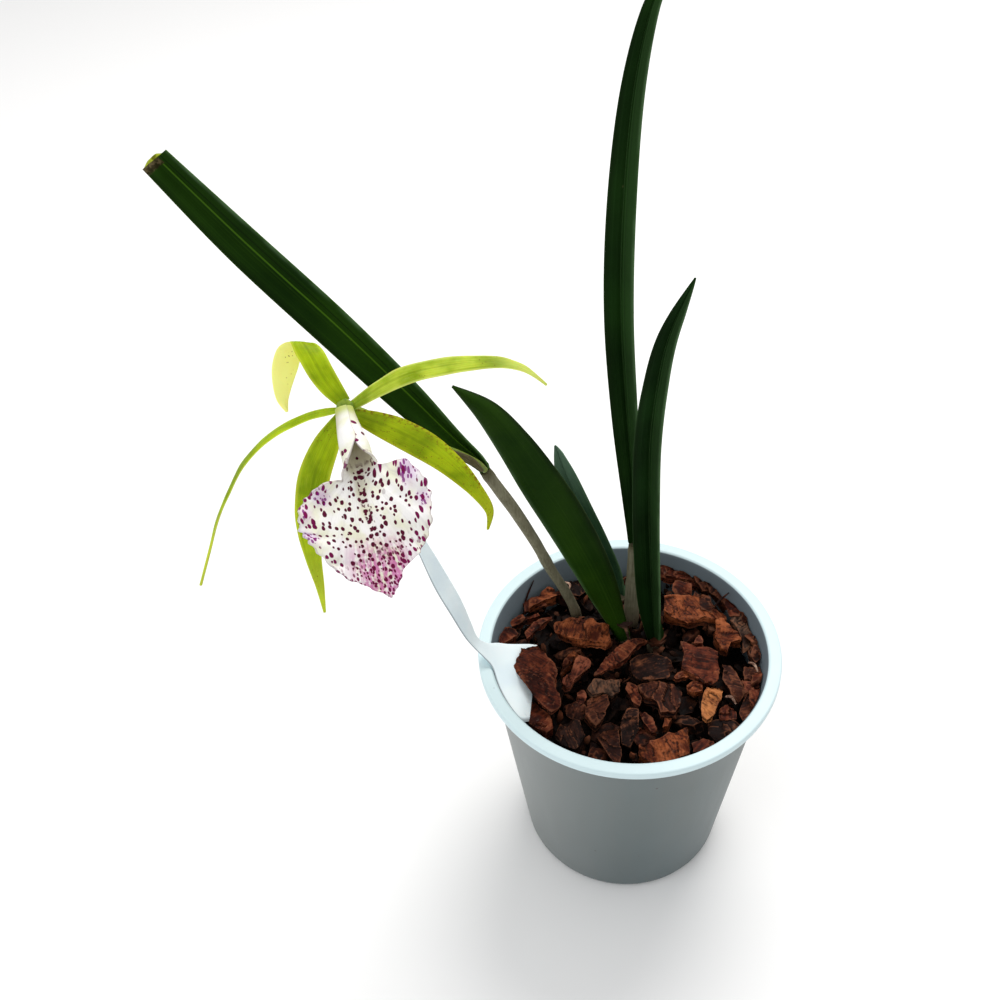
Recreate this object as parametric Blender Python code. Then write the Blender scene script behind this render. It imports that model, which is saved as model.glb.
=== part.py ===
"""A potted orchid: a plastic pot of bark, five leafy canes on one rhizome, and one spidery flower.

Metres, +Z up. The origin is the middle of the pot's flat underside, and the plant's front faces -Y.
"""

import math
import random

import bmesh
import bpy
from mathutils import Matrix, Vector

MM = 0.001

# Driving dimensions, in millimetres.
POT_HEIGHT = 99.0
RIM_RADIUS = 52.5
RIM_LIP = 4.2
RIM_SKIRT = 3.0
WALL = 1.2
WALL_TOP_RADIUS = 48.9
BASE_RADIUS = 38.0
BASE_ROUNDING = 4.0
FLOOR = 2.2
DRAIN_HOLES = 6
DRAIN_HOLE_RADIUS = 3.5
DRAIN_CIRCLE = 25.0
DRAIN_GROOVE = 1.1
DRAIN_GROOVE_WIDTH = 9.0
POT_SIDES = 56

GAP = 0.3
BARK_CORE_TOP = 80.0
BARK_TOP = 97.0
CHIP_SEED = 8
LOOSE_CHIPS = 40

CANE_FOOT = 78.0
RHIZOME_RADIUS = 3.6
STUB_RADIUS = 3.3
ROOT_RADIUS = 1.4
ROOTS = 6
ROOT_LENGTH = 52.0

LEAF_FLESH = 2.2
LEAF_EDGE_SHARE = 0.36
TEPAL_THICKNESS = 0.7
LIP_THICKNESS = 0.7
LABEL_THICKNESS = 0.6

FLOWER_CENTRE = Vector((-82.5, -2.7, 212.4))
FLOWER_LOOKS_UP = 42.6
FLOWER_ROLL = -3.7
RECEPTACLE_RADIUS = 2.6


# Small helpers

def clear_scene():
    for thing in list(bpy.data.objects):
        bpy.data.objects.remove(thing)


def material(name, colour, roughness):
    made = bpy.data.materials.new(name)
    made.use_nodes = True
    shader = made.node_tree.nodes["Principled BSDF"]
    shader.inputs["Base Color"].default_value = (*colour, 1.0)
    shader.inputs["Roughness"].default_value = roughness
    return made


def add_object(name, bm, finish):
    """Turns a bmesh in millimetres into one named object in metres."""
    bm.transform(Matrix.Scale(MM, 4))
    mesh = bpy.data.meshes.new(name)
    bm.to_mesh(mesh)
    bm.free()
    thing = bpy.data.objects.new(name, mesh)
    bpy.context.scene.collection.objects.link(thing)
    if finish:
        mesh.materials.append(finish)
    mesh.shade_smooth()
    mesh.set_sharp_from_angle(angle=math.radians(35))
    return thing


def smooth(values, share):
    """The value at share (0 to 1) on a smooth curve through evenly spaced numbers or vectors."""
    place = min(max(share, 0.0), 1.0) * (len(values) - 1)
    at = min(int(place), len(values) - 2)
    t = place - at
    a, b, c, d = (values[min(max(at + k, 0), len(values) - 1)] for k in (-1, 0, 1, 2))
    slope, bend, twist = c - a, a * 2 - b * 5 + c * 4 - d, b * 3 - a - c * 3 + d
    return b + (slope * t + bend * (t * t) + twist * t ** 3) * 0.5


def split_rows(rows):
    """Rows of (x, y, z, more...) as a list of vectors and one list for each further column."""
    points = [Vector(row[:3]) for row in rows]
    columns = [[row[k] for row in rows] for k in range(3, len(rows[0]))]
    return points, columns


def evaluated_mesh(thing):
    graph = bpy.context.evaluated_depsgraph_get()
    return bpy.data.meshes.new_from_object(thing.evaluated_get(graph))


def apply_modifiers(thing):
    mesh = evaluated_mesh(thing)
    thing.modifiers.clear()
    thing.data = mesh


def combine(thing, others, operation):
    """One Boolean of thing with all the others at once, which are then removed."""
    group = bpy.data.collections.new("operands")
    for other in others:
        group.objects.link(other)
    boolean = thing.modifiers.new("boolean", "BOOLEAN")
    boolean.operation = operation
    boolean.operand_type = "COLLECTION"
    boolean.solver = "EXACT"
    boolean.collection = group
    apply_modifiers(thing)
    for other in others:
        bpy.data.objects.remove(other)
    bpy.data.collections.remove(group)


# Long forms: round stems and thin blades

def stem(name, points, radii, finish=None, sides=8, steps=14):
    """A round stem along a smooth curve: a curve with a bevel and end caps, made into one closed mesh."""
    line = bpy.data.curves.new(name, "CURVE")
    line.dimensions = "3D"
    line.bevel_depth = MM
    line.bevel_resolution = (sides - 4) // 2
    line.use_fill_caps = True
    spline = line.splines.new("POLY")
    spline.points.add(steps)
    for k, dot in enumerate(spline.points):
        share = k / steps
        dot.co = (*(smooth(points, share) * MM), 1.0)
        dot.radius = smooth(radii, share)
    guide = bpy.data.objects.new(name + "_line", line)
    bpy.context.scene.collection.objects.link(guide)
    bm = bmesh.new()
    bm.from_mesh(evaluated_mesh(guide))
    bpy.data.objects.remove(guide)
    bmesh.ops.remove_doubles(bm, verts=bm.verts, dist=0.01 * MM)
    bmesh.ops.recalc_face_normals(bm, faces=bm.faces)
    bm.transform(Matrix.Scale(1 / MM, 4))
    return add_object(name, bm, finish)


def blade(name, place, across, along, thickness, finish=None, edge_share=1.0, offset=-1.0):
    """A thin curved blade: a grid moved by place(share along, -1 to 1 across), then given thickness.

    Both faces split into triangles alike, because the grid is split before it is thickened.
    """
    bm = bmesh.new()
    bmesh.ops.create_grid(bm, x_segments=across, y_segments=along, size=1.0)
    bmesh.ops.triangulate(bm, faces=bm.faces, quad_method="FIXED")
    sides = [dot.co.x for dot in bm.verts]
    for dot in bm.verts:
        dot.co = place((dot.co.y + 1) / 2, dot.co.x)
    thing = add_object(name, bm, finish)
    flesh = thing.vertex_groups.new(name="flesh")
    for k, side in enumerate(sides):
        flesh.add([k], 1 - abs(side) ** 1.5, "REPLACE")
    shell = thing.modifiers.new("shell", "SOLIDIFY")
    shell.thickness = thickness * MM
    shell.offset = offset
    shell.vertex_group = "flesh"
    shell.thickness_vertex_group = edge_share
    return thing


def strip_frame(points, faces, share):
    """The middle, the direction across and the direction it faces, at one place on a strip."""
    step = 0.004
    ahead, behind = smooth(points, share + step), smooth(points, share - step)
    run = (ahead - behind).normalized()
    face = smooth(faces, share)
    face = (face - run * face.dot(run)).normalized()
    return smooth(points, share), run.cross(face), face


# The pot and what fills it

def wall_radius(height, inside=True):
    share = (height - BASE_ROUNDING) / (POT_HEIGHT - BASE_ROUNDING)
    outer = BASE_RADIUS + (WALL_TOP_RADIUS - BASE_RADIUS) * share
    return outer - WALL if inside else outer


def spin_profile(profile, sides):
    """A profile of (radius, height) turned about Z into a closed bmesh."""
    bm = bmesh.new()
    dots = [bm.verts.new((radius, 0, height)) for radius, height in profile]
    edges = [bm.edges.new(pair) for pair in zip(dots, dots[1:])]
    bmesh.ops.spin(
        bm, geom=dots + edges, cent=(0, 0, 0), axis=(0, 0, 1), angle=math.tau, steps=sides, use_merge=True
    )
    bmesh.ops.remove_doubles(bm, verts=bm.verts, dist=0.001)
    bmesh.ops.recalc_face_normals(bm, faces=bm.faces)
    return bm


def pot_profile():
    corner = [
        (BASE_RADIUS - BASE_ROUNDING * (1 - math.sin(turn)), BASE_ROUNDING * (1 - math.cos(turn)))
        for turn in (math.radians(30 * k) for k in range(4))
    ]
    under_rim = POT_HEIGHT - RIM_SKIRT
    soft = 0.6
    lip_inner = RIM_RADIUS - RIM_LIP
    return [
        (0, 0), *corner,
        (wall_radius(under_rim, False), under_rim),
        (RIM_RADIUS - soft, under_rim),
        (RIM_RADIUS, under_rim + soft),
        (RIM_RADIUS, POT_HEIGHT - soft),
        (RIM_RADIUS - soft, POT_HEIGHT),
        (lip_inner + soft, POT_HEIGHT),
        (wall_radius(POT_HEIGHT - soft), POT_HEIGHT - soft),
        (wall_radius(FLOOR + BASE_ROUNDING), FLOOR + BASE_ROUNDING),
        (wall_radius(BASE_ROUNDING) - BASE_ROUNDING, FLOOR),
        (0, FLOOR),
    ]


def add_pot(finish):
    pot = add_object("pot", spin_profile(pot_profile(), POT_SIDES), finish)
    cutters = []
    for k in range(DRAIN_HOLES):
        turn = Matrix.Rotation(math.tau * (k + 0.62) / DRAIN_HOLES, 4, "Z")
        hole = bmesh.new()
        bmesh.ops.create_cone(
            hole, cap_ends=True, segments=12, radius1=DRAIN_HOLE_RADIUS, radius2=DRAIN_HOLE_RADIUS,
            depth=4 * FLOOR, matrix=turn @ Matrix.Translation((DRAIN_CIRCLE, 0, 0)),
        )
        cutters.append(add_object("drain_hole", hole, None))
        groove = bmesh.new()
        length = BASE_RADIUS - DRAIN_CIRCLE + 4
        size = Matrix.Diagonal((length, DRAIN_GROOVE_WIDTH, 2 * DRAIN_GROOVE, 1))
        bmesh.ops.create_cube(
            groove, size=1, matrix=turn @ Matrix.Translation((DRAIN_CIRCLE + length / 2, 0, 0)) @ size
        )
        cutters.append(add_object("drain_groove", groove, None))
    combine(pot, cutters, "DIFFERENCE")
    pot.data.shade_smooth()
    pot.data.set_sharp_from_angle(angle=math.radians(35))


# Bark chips that show best: x, y, middle height, length, width, thickness, turn, tilt, all measured
# in millimetres and degrees from the pot's middle.
SHOWN_CHIPS = (
    (-15, 16, 88, 21, 11, 9, -18, 8),
    (-31, -3, 89, 26, 13, 8, -72, -14),
    (-18, 0, 88, 16, 9, 7, 61, 16),
    (-3, 4, 90, 27, 6, 5, 38, 12),
    (9, -3, 89, 19, 14, 6, -2, -6),
    (26, 1, 90, 15, 14, 5, -46, 10),
    (29, 25, 89, 23, 11, 8, 2, 6),
    (38, 12, 88, 15, 11, 8, -57, -12),
    (8, -14, 88, 20, 12, 8, -13, 10),
    (-13, -18, 88, 13, 10, 6, 65, -12),
    (-3, -26, 86, 14, 9, 6, 71, 12),
    (-11, -32, 86, 17, 8, 5, -77, -20),
    (8, -35, 88, 18, 11, 7, 4, 10),
    (27, -18, 88, 15, 7, 6, 54, -8),
    (-23, -28, 86, 11, 11, 10, -10, 0),
    (-33, -19, 86, 15, 9, 7, -61, 14),
    (-33, 31, 86, 15, 4, 4, 72, 40),
    (-26, 34, 86, 14, 10, 6, 32, -18),
    (-29, 20, 86, 14, 9, 6, 35, 18),
    (36, -9, 87, 16, 9, 5, -75, -10),
    (41, 0, 86, 13, 10, 6, -91, 14),
    (22, -36, 86, 11, 8, 6, 12, 8),
    (32, -28, 86, 12, 10, 6, 30, -10),
    (24, 38, 87, 13, 8, 6, -36, 12),
    (18, -27, 87, 14, 9, 7, -30, 12),
    (14, 10, 84, 14, 10, 6, 20, 0),
    (17, -8, 86, 12, 9, 6, 80, -10),
)


def chip_object(centre, size, turns, draw):
    """One angular chip: the convex hull of a slab's corners and edge middles, each moved a little."""
    bm = bmesh.new()
    for x, y, z in ((1, 0.7, 1), (1, -0.8, -1), (0.1, 1, 1), (0.2, -1, 1), (0, 0.2, -1.1)):
        for side in (1, -1):
            spot = Vector((x * side, y * side, z)) + Vector([draw.uniform(-0.25, 0.25) for _ in range(3)])
            bm.verts.new([spot[k] * size[k] / 2 for k in range(3)])
    bmesh.ops.convex_hull(bm, input=bm.verts)
    bmesh.ops.delete(bm, geom=[dot for dot in bm.verts if not dot.link_faces], context="VERTS")
    yaw, pitch, roll = (math.radians(turn) for turn in turns)
    spin = Matrix.Rotation(yaw, 4, "Z") @ Matrix.Rotation(pitch, 4, "Y") @ Matrix.Rotation(roll, 4, "X")
    bm.transform(Matrix.Translation(centre) @ spin)
    bmesh.ops.recalc_face_normals(bm, faces=bm.faces)
    return add_object("chip", bm, None)


def bark_chips():
    """The chips that show best, and then loose ones spread evenly over the bed by the golden angle."""
    draw = random.Random(CHIP_SEED)
    chips = []
    for x, y, z, length, width, thickness, turn, tilt in SHOWN_CHIPS:
        roll = draw.uniform(-14, 14)
        chips.append(chip_object((x, y, z), (length, width, thickness), (turn, tilt, roll), draw))
    for k in range(LOOSE_CHIPS):
        reach = 44 * math.sqrt((k + 0.5) / LOOSE_CHIPS)
        around = k * 2.39996
        centre = (reach * math.cos(around), reach * math.sin(around), draw.uniform(79.5, 84.5))
        size = (draw.uniform(11, 18), draw.uniform(7, 11), draw.uniform(4.5, 8))
        turns = (draw.uniform(0, 360), draw.uniform(-25, 25), draw.uniform(-20, 20))
        chips.append(chip_object(centre, size, turns, draw))
    return chips


def add_bark(finish, cutters):
    """The bed of bark: a packed core with chips standing out of its top, cut clear of all it holds."""
    floor = FLOOR + GAP
    core = [
        (0, floor), (wall_radius(BASE_ROUNDING) - BASE_ROUNDING - 0.5, floor),
        (wall_radius(FLOOR + BASE_ROUNDING) - 0.5, FLOOR + BASE_ROUNDING + 0.5),
        (wall_radius(BARK_CORE_TOP) - 0.5, BARK_CORE_TOP), (0, BARK_CORE_TOP),
    ]
    room = core[:3] + [(wall_radius(BARK_TOP) - 0.5, BARK_TOP), (0, BARK_TOP)]
    bark = add_object("bark", spin_profile(core, 40), finish)
    combine(bark, bark_chips(), "UNION")
    combine(bark, [add_object("room", spin_profile(room, 40), None)], "INTERSECT")
    combine(bark, cutters, "DIFFERENCE")
    keep_largest(bark)


def keep_largest(thing):
    """Drops the loose scraps that a cut leaves."""
    bm = bmesh.new()
    bm.from_mesh(thing.data)
    left = set(bm.verts)
    groups = []
    while left:
        group, edge = set(), {left.pop()}
        while edge:
            group |= edge
            edge = {e.other_vert(dot) for dot in edge for e in dot.link_edges} - group
        left -= group
        groups.append(group)
    groups.sort(key=len)
    for group in groups[:-1]:
        bmesh.ops.delete(bm, geom=list(group), context="VERTS")
    bm.to_mesh(thing.data)
    bm.free()


# Rhizome, roots and canes

FEET = {"a": (-14.2, 27.8), "b": (1.8, 14.6), "c": (0.8, 33.5), "d": (4.4, 22.8), "e": (12.4, 13.4)}


def rhizome_pieces(grow):
    """The creeping rhizome, its stubs and its roots, each grown outwards by the clearance given."""
    depth = CANE_FOOT - RHIZOME_RADIUS - 2.0
    feet = {key: Vector((x, y, depth)) for key, (x, y) in FEET.items()}
    pieces = []
    for first, last in (("a", "d"), ("d", "e"), ("d", "c"), ("d", "b")):
        start, end = feet[first], feet[last]
        middle = (start + end) / 2 - Vector((0, 0, 0.8))
        thick = RHIZOME_RADIUS + grow
        pieces.append(stem("joint", [start, middle, end], [thick, thick * 0.9, thick], steps=2))
    for foot in feet.values():
        top = Vector((0, 0, CANE_FOOT - depth - GAP + 6 * grow))
        pieces.append(stem("stub", [foot, foot + top * 0.5, foot + top], [STUB_RADIUS + grow] * 3, steps=1))
    for k in range(ROOTS):
        around = math.tau * (k + 0.3) / ROOTS
        out = Vector((math.cos(around), math.sin(around), 0))
        start = feet["a"].lerp(feet["e"], k / (ROOTS - 1))
        reach = start.lerp(Vector((0, 0, start.z)), 0.6)
        points = [
            start, reach + out * 13 - Vector((0, 0, 9)),
            reach * 0.9 + out * 20 - Vector((0, 0, 0.55 * ROOT_LENGTH)),
            reach * 0.8 + out * 19 - Vector((0, 0, ROOT_LENGTH)),
        ]
        points[2].z, points[3].z = start.z - 0.55 * ROOT_LENGTH, start.z - ROOT_LENGTH
        radii = [ROOT_RADIUS + grow] * 3 + [ROOT_RADIUS * 0.6 + grow]
        pieces.append(stem("root", points, radii, sides=6, steps=4))
    return pieces


def add_rhizome(finish):
    first, *others = rhizome_pieces(0.0)
    first.name = "rhizome"
    first.data.materials.append(finish)
    combine(first, others, "UNION")


# Each cane: the middle line from foot to top, and the radii at the same places.
CANES = {
    "a": (
        ((-14.2, 27.8, CANE_FOOT), (-16.3, 26.2, 90), (-20.4, 23.0, 105), (-25.4, 19.3, 120),
         (-30.8, 14.8, 138.8), (-36.4, 10.2, 156.2), (-41.6, 6.0, 171.4), (-44.9, 3.2, 180.8)),
        (2.6, 3.1, 2.9, 2.8, 2.6, 2.4, 2.3, 2.6),
    ),
    "b": (((1.8, 14.6, CANE_FOOT), (1.2, 15.0, 82), (0.3, 15.6, 86)), (2.6, 2.8, 2.6)),
    "c": (((0.8, 33.5, CANE_FOOT), (1.2, 33.3, 83), (1.6, 33.0, 88)), (2.2, 2.4, 2.2)),
    "d": (((4.4, 22.8, CANE_FOOT), (4.4, 22.8, 92), (4.3, 22.7, 110), (4.2, 22.6, 126)), (2.6, 2.7, 2.3, 2.0)),
    "e": (((12.4, 13.4, CANE_FOOT), (12.2, 13.2, 82), (11.8, 12.9, 86)), (2.8, 3.0, 2.8)),
}


def cane_shape(name, key, grow=0.0, finish=None):
    points, radii = CANES[key]
    points = [Vector(point) for point in points]
    length = (points[-1] - points[0]).length
    cane = stem(name, points, [radius + grow for radius in radii], finish, steps=max(3, round(length / 7)))
    for dot in cane.data.vertices:
        if dot.co.z < (CANE_FOOT + 1.2) * MM:
            dot.co.z = CANE_FOOT * MM
    return cane


def leaf_way(key):
    """The room that the bark leaves round the foot of a leaf that starts at bark level."""
    rows = LEAVES[key][0]
    points = [Vector(row[:3]) for row in rows[:2]]
    run = points[1] - points[0]
    points = [points[0] - run * 0.2, points[0], points[0] + run * 0.35, points[0] + run * 0.7]
    return stem("way", points, [3.8, 4.2, 5.2, 6.2], steps=4)


# Leaves: x, y, z, half width and fold in degrees, from base to tip, then the way the channel faces
# at base and tip.
LEAVES = {
    "a": (
        ((-45.3, 3.6, 181.6, 2.3, 44), (-48.0, 3.6, 186.0, 2.8, 44), (-54.4, 6.6, 191.0, 4.2, 38),
         (-67.0, 14.4, 202.2, 5.6, 28), (-85.6, 21.1, 223.1, 6.1, 24), (-107.3, 27.3, 247.7, 5.8, 26),
         (-127.3, 34.4, 269.7, 4.6, 34)),
        ((0.0, -0.85, 0.52), (0.1, -0.83, 0.55)),
    ),
    "b": (
        ((0.1, 15.6, 86.9, 2.8, 30), (-6.0, 16.3, 106.6, 5.6, 20), (-12.4, 16.6, 125.7, 6.8, 14),
         (-20.2, 16.9, 145.2, 7.2, 12), (-28.1, 17.1, 162.5, 6.8, 12), (-35.5, 17.4, 178.0, 5.6, 12),
         (-43.5, 17.7, 191.8, 3.8, 12), (-53.3, 18.0, 202.2, 0.4, 8)),
        ((-0.1, 0.9, -0.3), (-0.1, 0.85, -0.5)),
    ),
    "c": (
        ((1.5, 33.0, 89.2, 2.2, 34), (-1.8, 32.4, 103.3, 4.2, 28), (-7.6, 31.8, 119.9, 5.0, 24),
         (-13.8, 31.2, 137.6, 4.6, 20), (-18.9, 30.6, 154.2, 3.4, 18), (-22.1, 30.0, 166.4, 0.4, 14)),
        ((-0.35, -0.9, 0.0), (-0.2, -0.9, 0.3)),
    ),
    "d": (
        ((4.2, 22.6, 126.8, 2.0, 40), (1.6, 21.8, 150.0, 3.8, 42), (-2.0, 20.7, 186.0, 4.8, 40),
         (-3.8, 19.8, 222.0, 4.9, 38), (-3.9, 18.8, 255.0, 4.5, 36), (-2.4, 17.9, 285.6, 3.6, 34),
         (1.0, 17.0, 307.0, 2.2, 30), (5.6, 16.0, 317.5, 0.4, 20)),
        ((-0.35, -0.9, 0.1), (-0.3, -0.9, 0.3)),
    ),
    "e": (
        ((11.8, 12.9, 86.4, 2.8, 50), (9.4, 11.6, 110.0, 5.6, 50), (6.9, 10.3, 138.0, 5.9, 48),
         (5.0, 9.2, 163.3, 5.8, 46), (4.2, 8.2, 184.6, 5.5, 44), (4.6, 7.2, 204.2, 4.8, 42),
         (6.8, 6.1, 223.0, 3.6, 40), (14.0, 4.0, 242.8, 0.4, 30)),
        ((-0.4, -0.9, 0.1), (-0.35, -0.88, 0.3)),
    ),
}


def leaf_place(key):
    rows, faces = LEAVES[key]
    points, (widths, folds) = split_rows(rows)
    faces = [Vector(face) for face in faces]
    soft = 0.1

    def place(share, side):
        middle, across, face = strip_frame(points, faces, share)
        fold = math.radians(smooth(folds, share))
        reach = max(smooth(widths, share), 0.3) * side
        rise = (math.sqrt(reach * reach + soft) - math.sqrt(soft)) * math.sin(fold)
        return middle + across * (reach * math.cos(fold)) + face * rise

    return place


def add_leaf(key, finish):
    rows = LEAVES[key][0]
    length = (Vector(rows[-1][:3]) - Vector(rows[0][:3])).length
    blade(
        f"leaf_{key}", leaf_place(key), 6, max(12, round(length / 7)), LEAF_FLESH, finish,
        edge_share=LEAF_EDGE_SHARE,
    )


# The slip-on plant label, as points along its two long edges, from the strap's end over the rim to
# the buried edge of its head.
LABEL_FAR = (
    (-67.2, -4.6, 167.3), (-64.4, -3.1, 157.8), (-60.4, -1.0, 143.0), (-56.5, 0.3, 128.5),
    (-54.0, 1.0, 116.0), (-52.2, 0.9, 107.8), (-49.0, 2.1, 102.8), (-45.3, 4.4, 99.6),
    (-41.8, 5.6, 97.2), (-38.2, 6.9, 95.2), (-34.6, 8.3, 93.2), (-31.4, 9.3, 91.2),
)
LABEL_NEAR = (
    (-69.2, -6.8, 166.7), (-67.2, -6.9, 156.8), (-63.8, -7.0, 141.6), (-59.6, -6.4, 127.3),
    (-56.2, -5.0, 115.0), (-53.4, -3.5, 107.0), (-50.2, -4.4, 102.6), (-46.7, -6.6, 99.9),
    (-44.7, -12.9, 98.5), (-42.0, -19.4, 97.4), (-39.4, -23.2, 95.4), (-36.1, -19.2, 92.0),
)


def label_place(grow):
    """The label's middle surface, grown by the clearance given at its edges and its buried end."""
    far, near = ([Vector(point) for point in edge] for edge in (LABEL_FAR, LABEL_NEAR))
    for edge in (far, near):
        edge[-1] += (edge[-1] - edge[-2]).normalized() * grow

    def place(share, side):
        middle = (smooth(far, share) + smooth(near, share)) / 2
        half = smooth(near, share) - middle
        return middle + half * (side * (1 + grow / half.length))

    return place


def add_label(finish, grow=0.0):
    return blade("label", label_place(grow), 4, 22, LABEL_THICKNESS + 3 * grow, finish, offset=0.0)


# The flower stalk and the flower

STALK = (
    (-45.1, 2.0, 182.1), (-47.3, 1.6, 185.7), (-52.4, 2.0, 189.4), (-59.0, 1.6, 193.8),
    (-68.5, 0.4, 200.9), (-76.4, 0.6, 206.4),
)
STALK_RADII = (0.9, 0.9, 0.9, 0.9, 1.0, 1.3, 1.7)
# The dry sheath in front of the stalk's foot: x, y, z and half width, from base to tip.
SHEATH = (
    (-45.6, 0.3, 183.0, 0.9), (-47.6, -0.3, 186.8, 1.3), (-50.3, -0.2, 189.1, 1.3), (-54.2, 0.1, 191.4, 0.4),
)
SHEATH_CURL = 0.3
SHEATH_FACE = (0.1, -0.8, 0.6)


def flower_axes():
    """Right, up and forwards, as the open flower sees them."""
    up_tilt, roll = math.radians(FLOWER_LOOKS_UP), math.radians(FLOWER_ROLL)
    forwards = Vector((0, -math.cos(up_tilt), math.sin(up_tilt)))
    level = Vector((1, 0, 0))
    rise = forwards.cross(level)
    right = level * math.cos(roll) + rise * math.sin(roll)
    return right, forwards.cross(right), forwards


RIGHT, UP, FORWARDS = flower_axes()


def in_flower(x, y, out):
    return FLOWER_CENTRE + RIGHT * x + UP * y + FORWARDS * out


# Sepals and petals in the flower's own axes: right, up, out, half width, then the way the face turns
# (right, up, out), from base to tip.
TEPALS = {
    "sepal_dorsal": (
        (-1.2, 2.6, 0.0, 2.0, 0, 0, 1), (-3.6, 5.6, 1.4, 3.1, 0.1, 0, 1), (-6.4, 9.8, 2.4, 3.6, 0.1, 0.1, 1),
        (-9.4, 15.2, 2.2, 3.8, 0.1, 0.5, 0.8), (-12.4, 18.6, 0.2, 3.7, 0, 1, 0.1),
        (-15.8, 16.6, -2.6, 3.8, -0.5, 0.5, -0.8), (-17.5, 12.0, -4.2, 3.7, -0.3, 0.1, -0.9),
        (-18.4, 7.4, -5.4, 2.9, -0.2, 0, -1), (-18.5, 3.1, -6, 1.8, -0.2, 0, -1),
        (-17.3, -0.6, -6.4, 0.4, -0.3, 0, -1),
    ),
    "petal_right": (
        (2.9, 1.3, 0.0, 1.4, 0.1, 0.2, 1), (9.7, 5.3, 2.4, 2.4, 0.1, 0.3, 1), (18.0, 9.1, 4.0, 3.0, 0, 0.4, 1),
        (29.1, 11.5, 4.0, 2.9, 0.1, 0.5, 1), (40.2, 12.6, 2.5, 2.2, 0.2, 0.5, 1),
        (49.0, 11.4, 0.0, 1.4, 0.3, 0.6, 1), (56.2, 6.8, -3.0, 0.4, 0.4, 0.7, 1),
    ),
    "sepal_right": (
        (2.7, -1.9, -0.2, 1.6, 0, 0.1, 1), (8.3, -3.9, 1.2, 3.3, 0, 0.2, 1), (15.3, -6.8, 2.2, 4.2, 0, 0.2, 1),
        (23.6, -11.3, 2.6, 4.2, 0.1, 0.2, 1), (30.5, -16.6, 2.0, 3.4, 0.2, 0.2, 1),
        (36.2, -22.5, 0.4, 2.4, 0.3, 0.2, 1), (40.1, -28.4, -2.0, 1.4, 0.4, 0.2, 1),
        (39.6, -33.9, -4.5, 0.4, 0.5, 0.2, 1),
    ),
    "sepal_left": (
        (-1.4, -3.0, -0.6, 1.7, 0, 0, 1), (-5.4, -10.0, -1.0, 3.8, 0, 0, 1), (-8.9, -18.6, -2.0, 4.6, 0, 0, 1),
        (-10.3, -26.9, -3.0, 4.5, 0, 0, 1), (-10.4, -34.0, -4.0, 3.9, 0, 0, 1),
        (-9.9, -41.0, -5.2, 2.6, 0, 0.1, 1), (-8.2, -49.4, -6.6, 1.4, 0, 0.2, 1),
        (-7.0, -57.6, -8.4, 0.4, 0, 0.3, 1),
    ),
    "petal_left": (
        (-3.2, -0.6, 0.0, 1.3, 0.3, 1.4, 1), (-9.7, -2.1, 2.0, 2.2, 0.3, 1.6, 1),
        (-17.0, -5.6, 3.2, 2.6, -0.2, 1.8, 1), (-23.6, -10.4, 3.2, 2.6, -1.0, 1.6, 1),
        (-28.6, -16.4, 2.4, 2.3, -1.6, 1.2, 1),
        (-32.6, -23.5, 0.8, 1.9, -1.9, 0.8, 1), (-36.2, -31.3, -1.4, 1.4, -2, 0.6, 1),
        (-39.0, -39.8, -4.0, 1.0, -2, 0.5, 1), (-42.3, -49.6, -7.0, 0.4, -2, 0.5, 1),
    ),
}
TEPAL_FOLD = 12.0

# The lip: right, up, out along its midrib, the radius that it wraps round, and its half width.
LIP = (
    (0.4, -0.9, 1.9, 2.1, 5.9), (1.7, -6.5, 3.0, 2.5, 7.2), (3.3, -12.0, 4.6, 2.9, 8.4),
    (4.7, -17.2, 6.6, 4.0, 9.4), (5.5, -22.7, 8.4, 24.0, 17.4), (6.9, -28.3, 9.6, 60.0, 18.4),
    (8.9, -33.8, 9.8, 60.0, 17.4), (10.5, -39.3, 9.4, 50.0, 14.2), (12.3, -45.3, 8.4, 40.0, 8.6),
    (14.2, -51.2, 7.0, 30.0, 0.5),
)
LIP_SIDES = (0.96, 0.9)
LIP_SHOULDERS = (4.5, 2.0)
LIP_DELAYS = (0.0, 0.1)
LIP_WIDEST = 16.0
LIP_TURN = (0.25, 1.0)
RUFFLES = 7
RUFFLE_HEIGHT = 0.9


def tepal_place(rows):
    points = [in_flower(*row[:3]) for row in rows]
    widths = [row[3] for row in rows]
    faces = [(RIGHT * row[4] + UP * row[5] + FORWARDS * row[6]).normalized() for row in rows]
    fold = math.radians(TEPAL_FOLD)

    def place(share, side):
        middle, across, face = strip_frame(points, faces, share)
        reach = max(smooth(widths, share), 0.3) * side
        return middle + across * (reach * math.cos(fold)) - face * (abs(reach) * math.sin(fold) * 0.6)

    return place


def lip_place(share, side):
    """The lip's sheet: a tube wrapped round the column that opens into a wide ruffled blade."""
    points = [in_flower(*row[:3]) for row in LIP]
    wraps = [1 / row[3] for row in LIP]
    widths = [row[4] for row in LIP]
    face = (RIGHT * LIP_TURN[0] + FORWARDS * LIP_TURN[1]).normalized()
    middle, across, out = strip_frame(points, [face, face], share)
    late = share - LIP_DELAYS[side > 0] * math.exp(-((share - 0.42) / 0.14) ** 2)
    bend = max(smooth(wraps, late), 0.004)
    open_share = min(max((late - 0.34) / 0.2, 0.0), 1.0)
    lean = 1 + (LIP_SIDES[side > 0] - 1) * open_share
    reach = max(smooth(widths, late), 0.3) * side * lean
    ruffle = RUFFLE_HEIGHT * open_share * abs(side) ** 3 * math.sin(share * math.tau * RUFFLES + 1.5 * side)
    groove = 2.2 * open_share * (1 - share) * math.exp(-(reach / 2.4) ** 2)
    rise = (1 - math.cos(reach * bend)) / bend
    aside = math.sin(reach * bend) / bend
    shoulder = LIP_SHOULDERS[side > 0] * math.exp(-((share - 0.46) / 0.16) ** 2) * (aside / LIP_WIDEST) ** 2
    spot = middle + across * aside + out * (rise + ruffle - groove)
    return spot + across.cross(out) * shoulder


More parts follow.
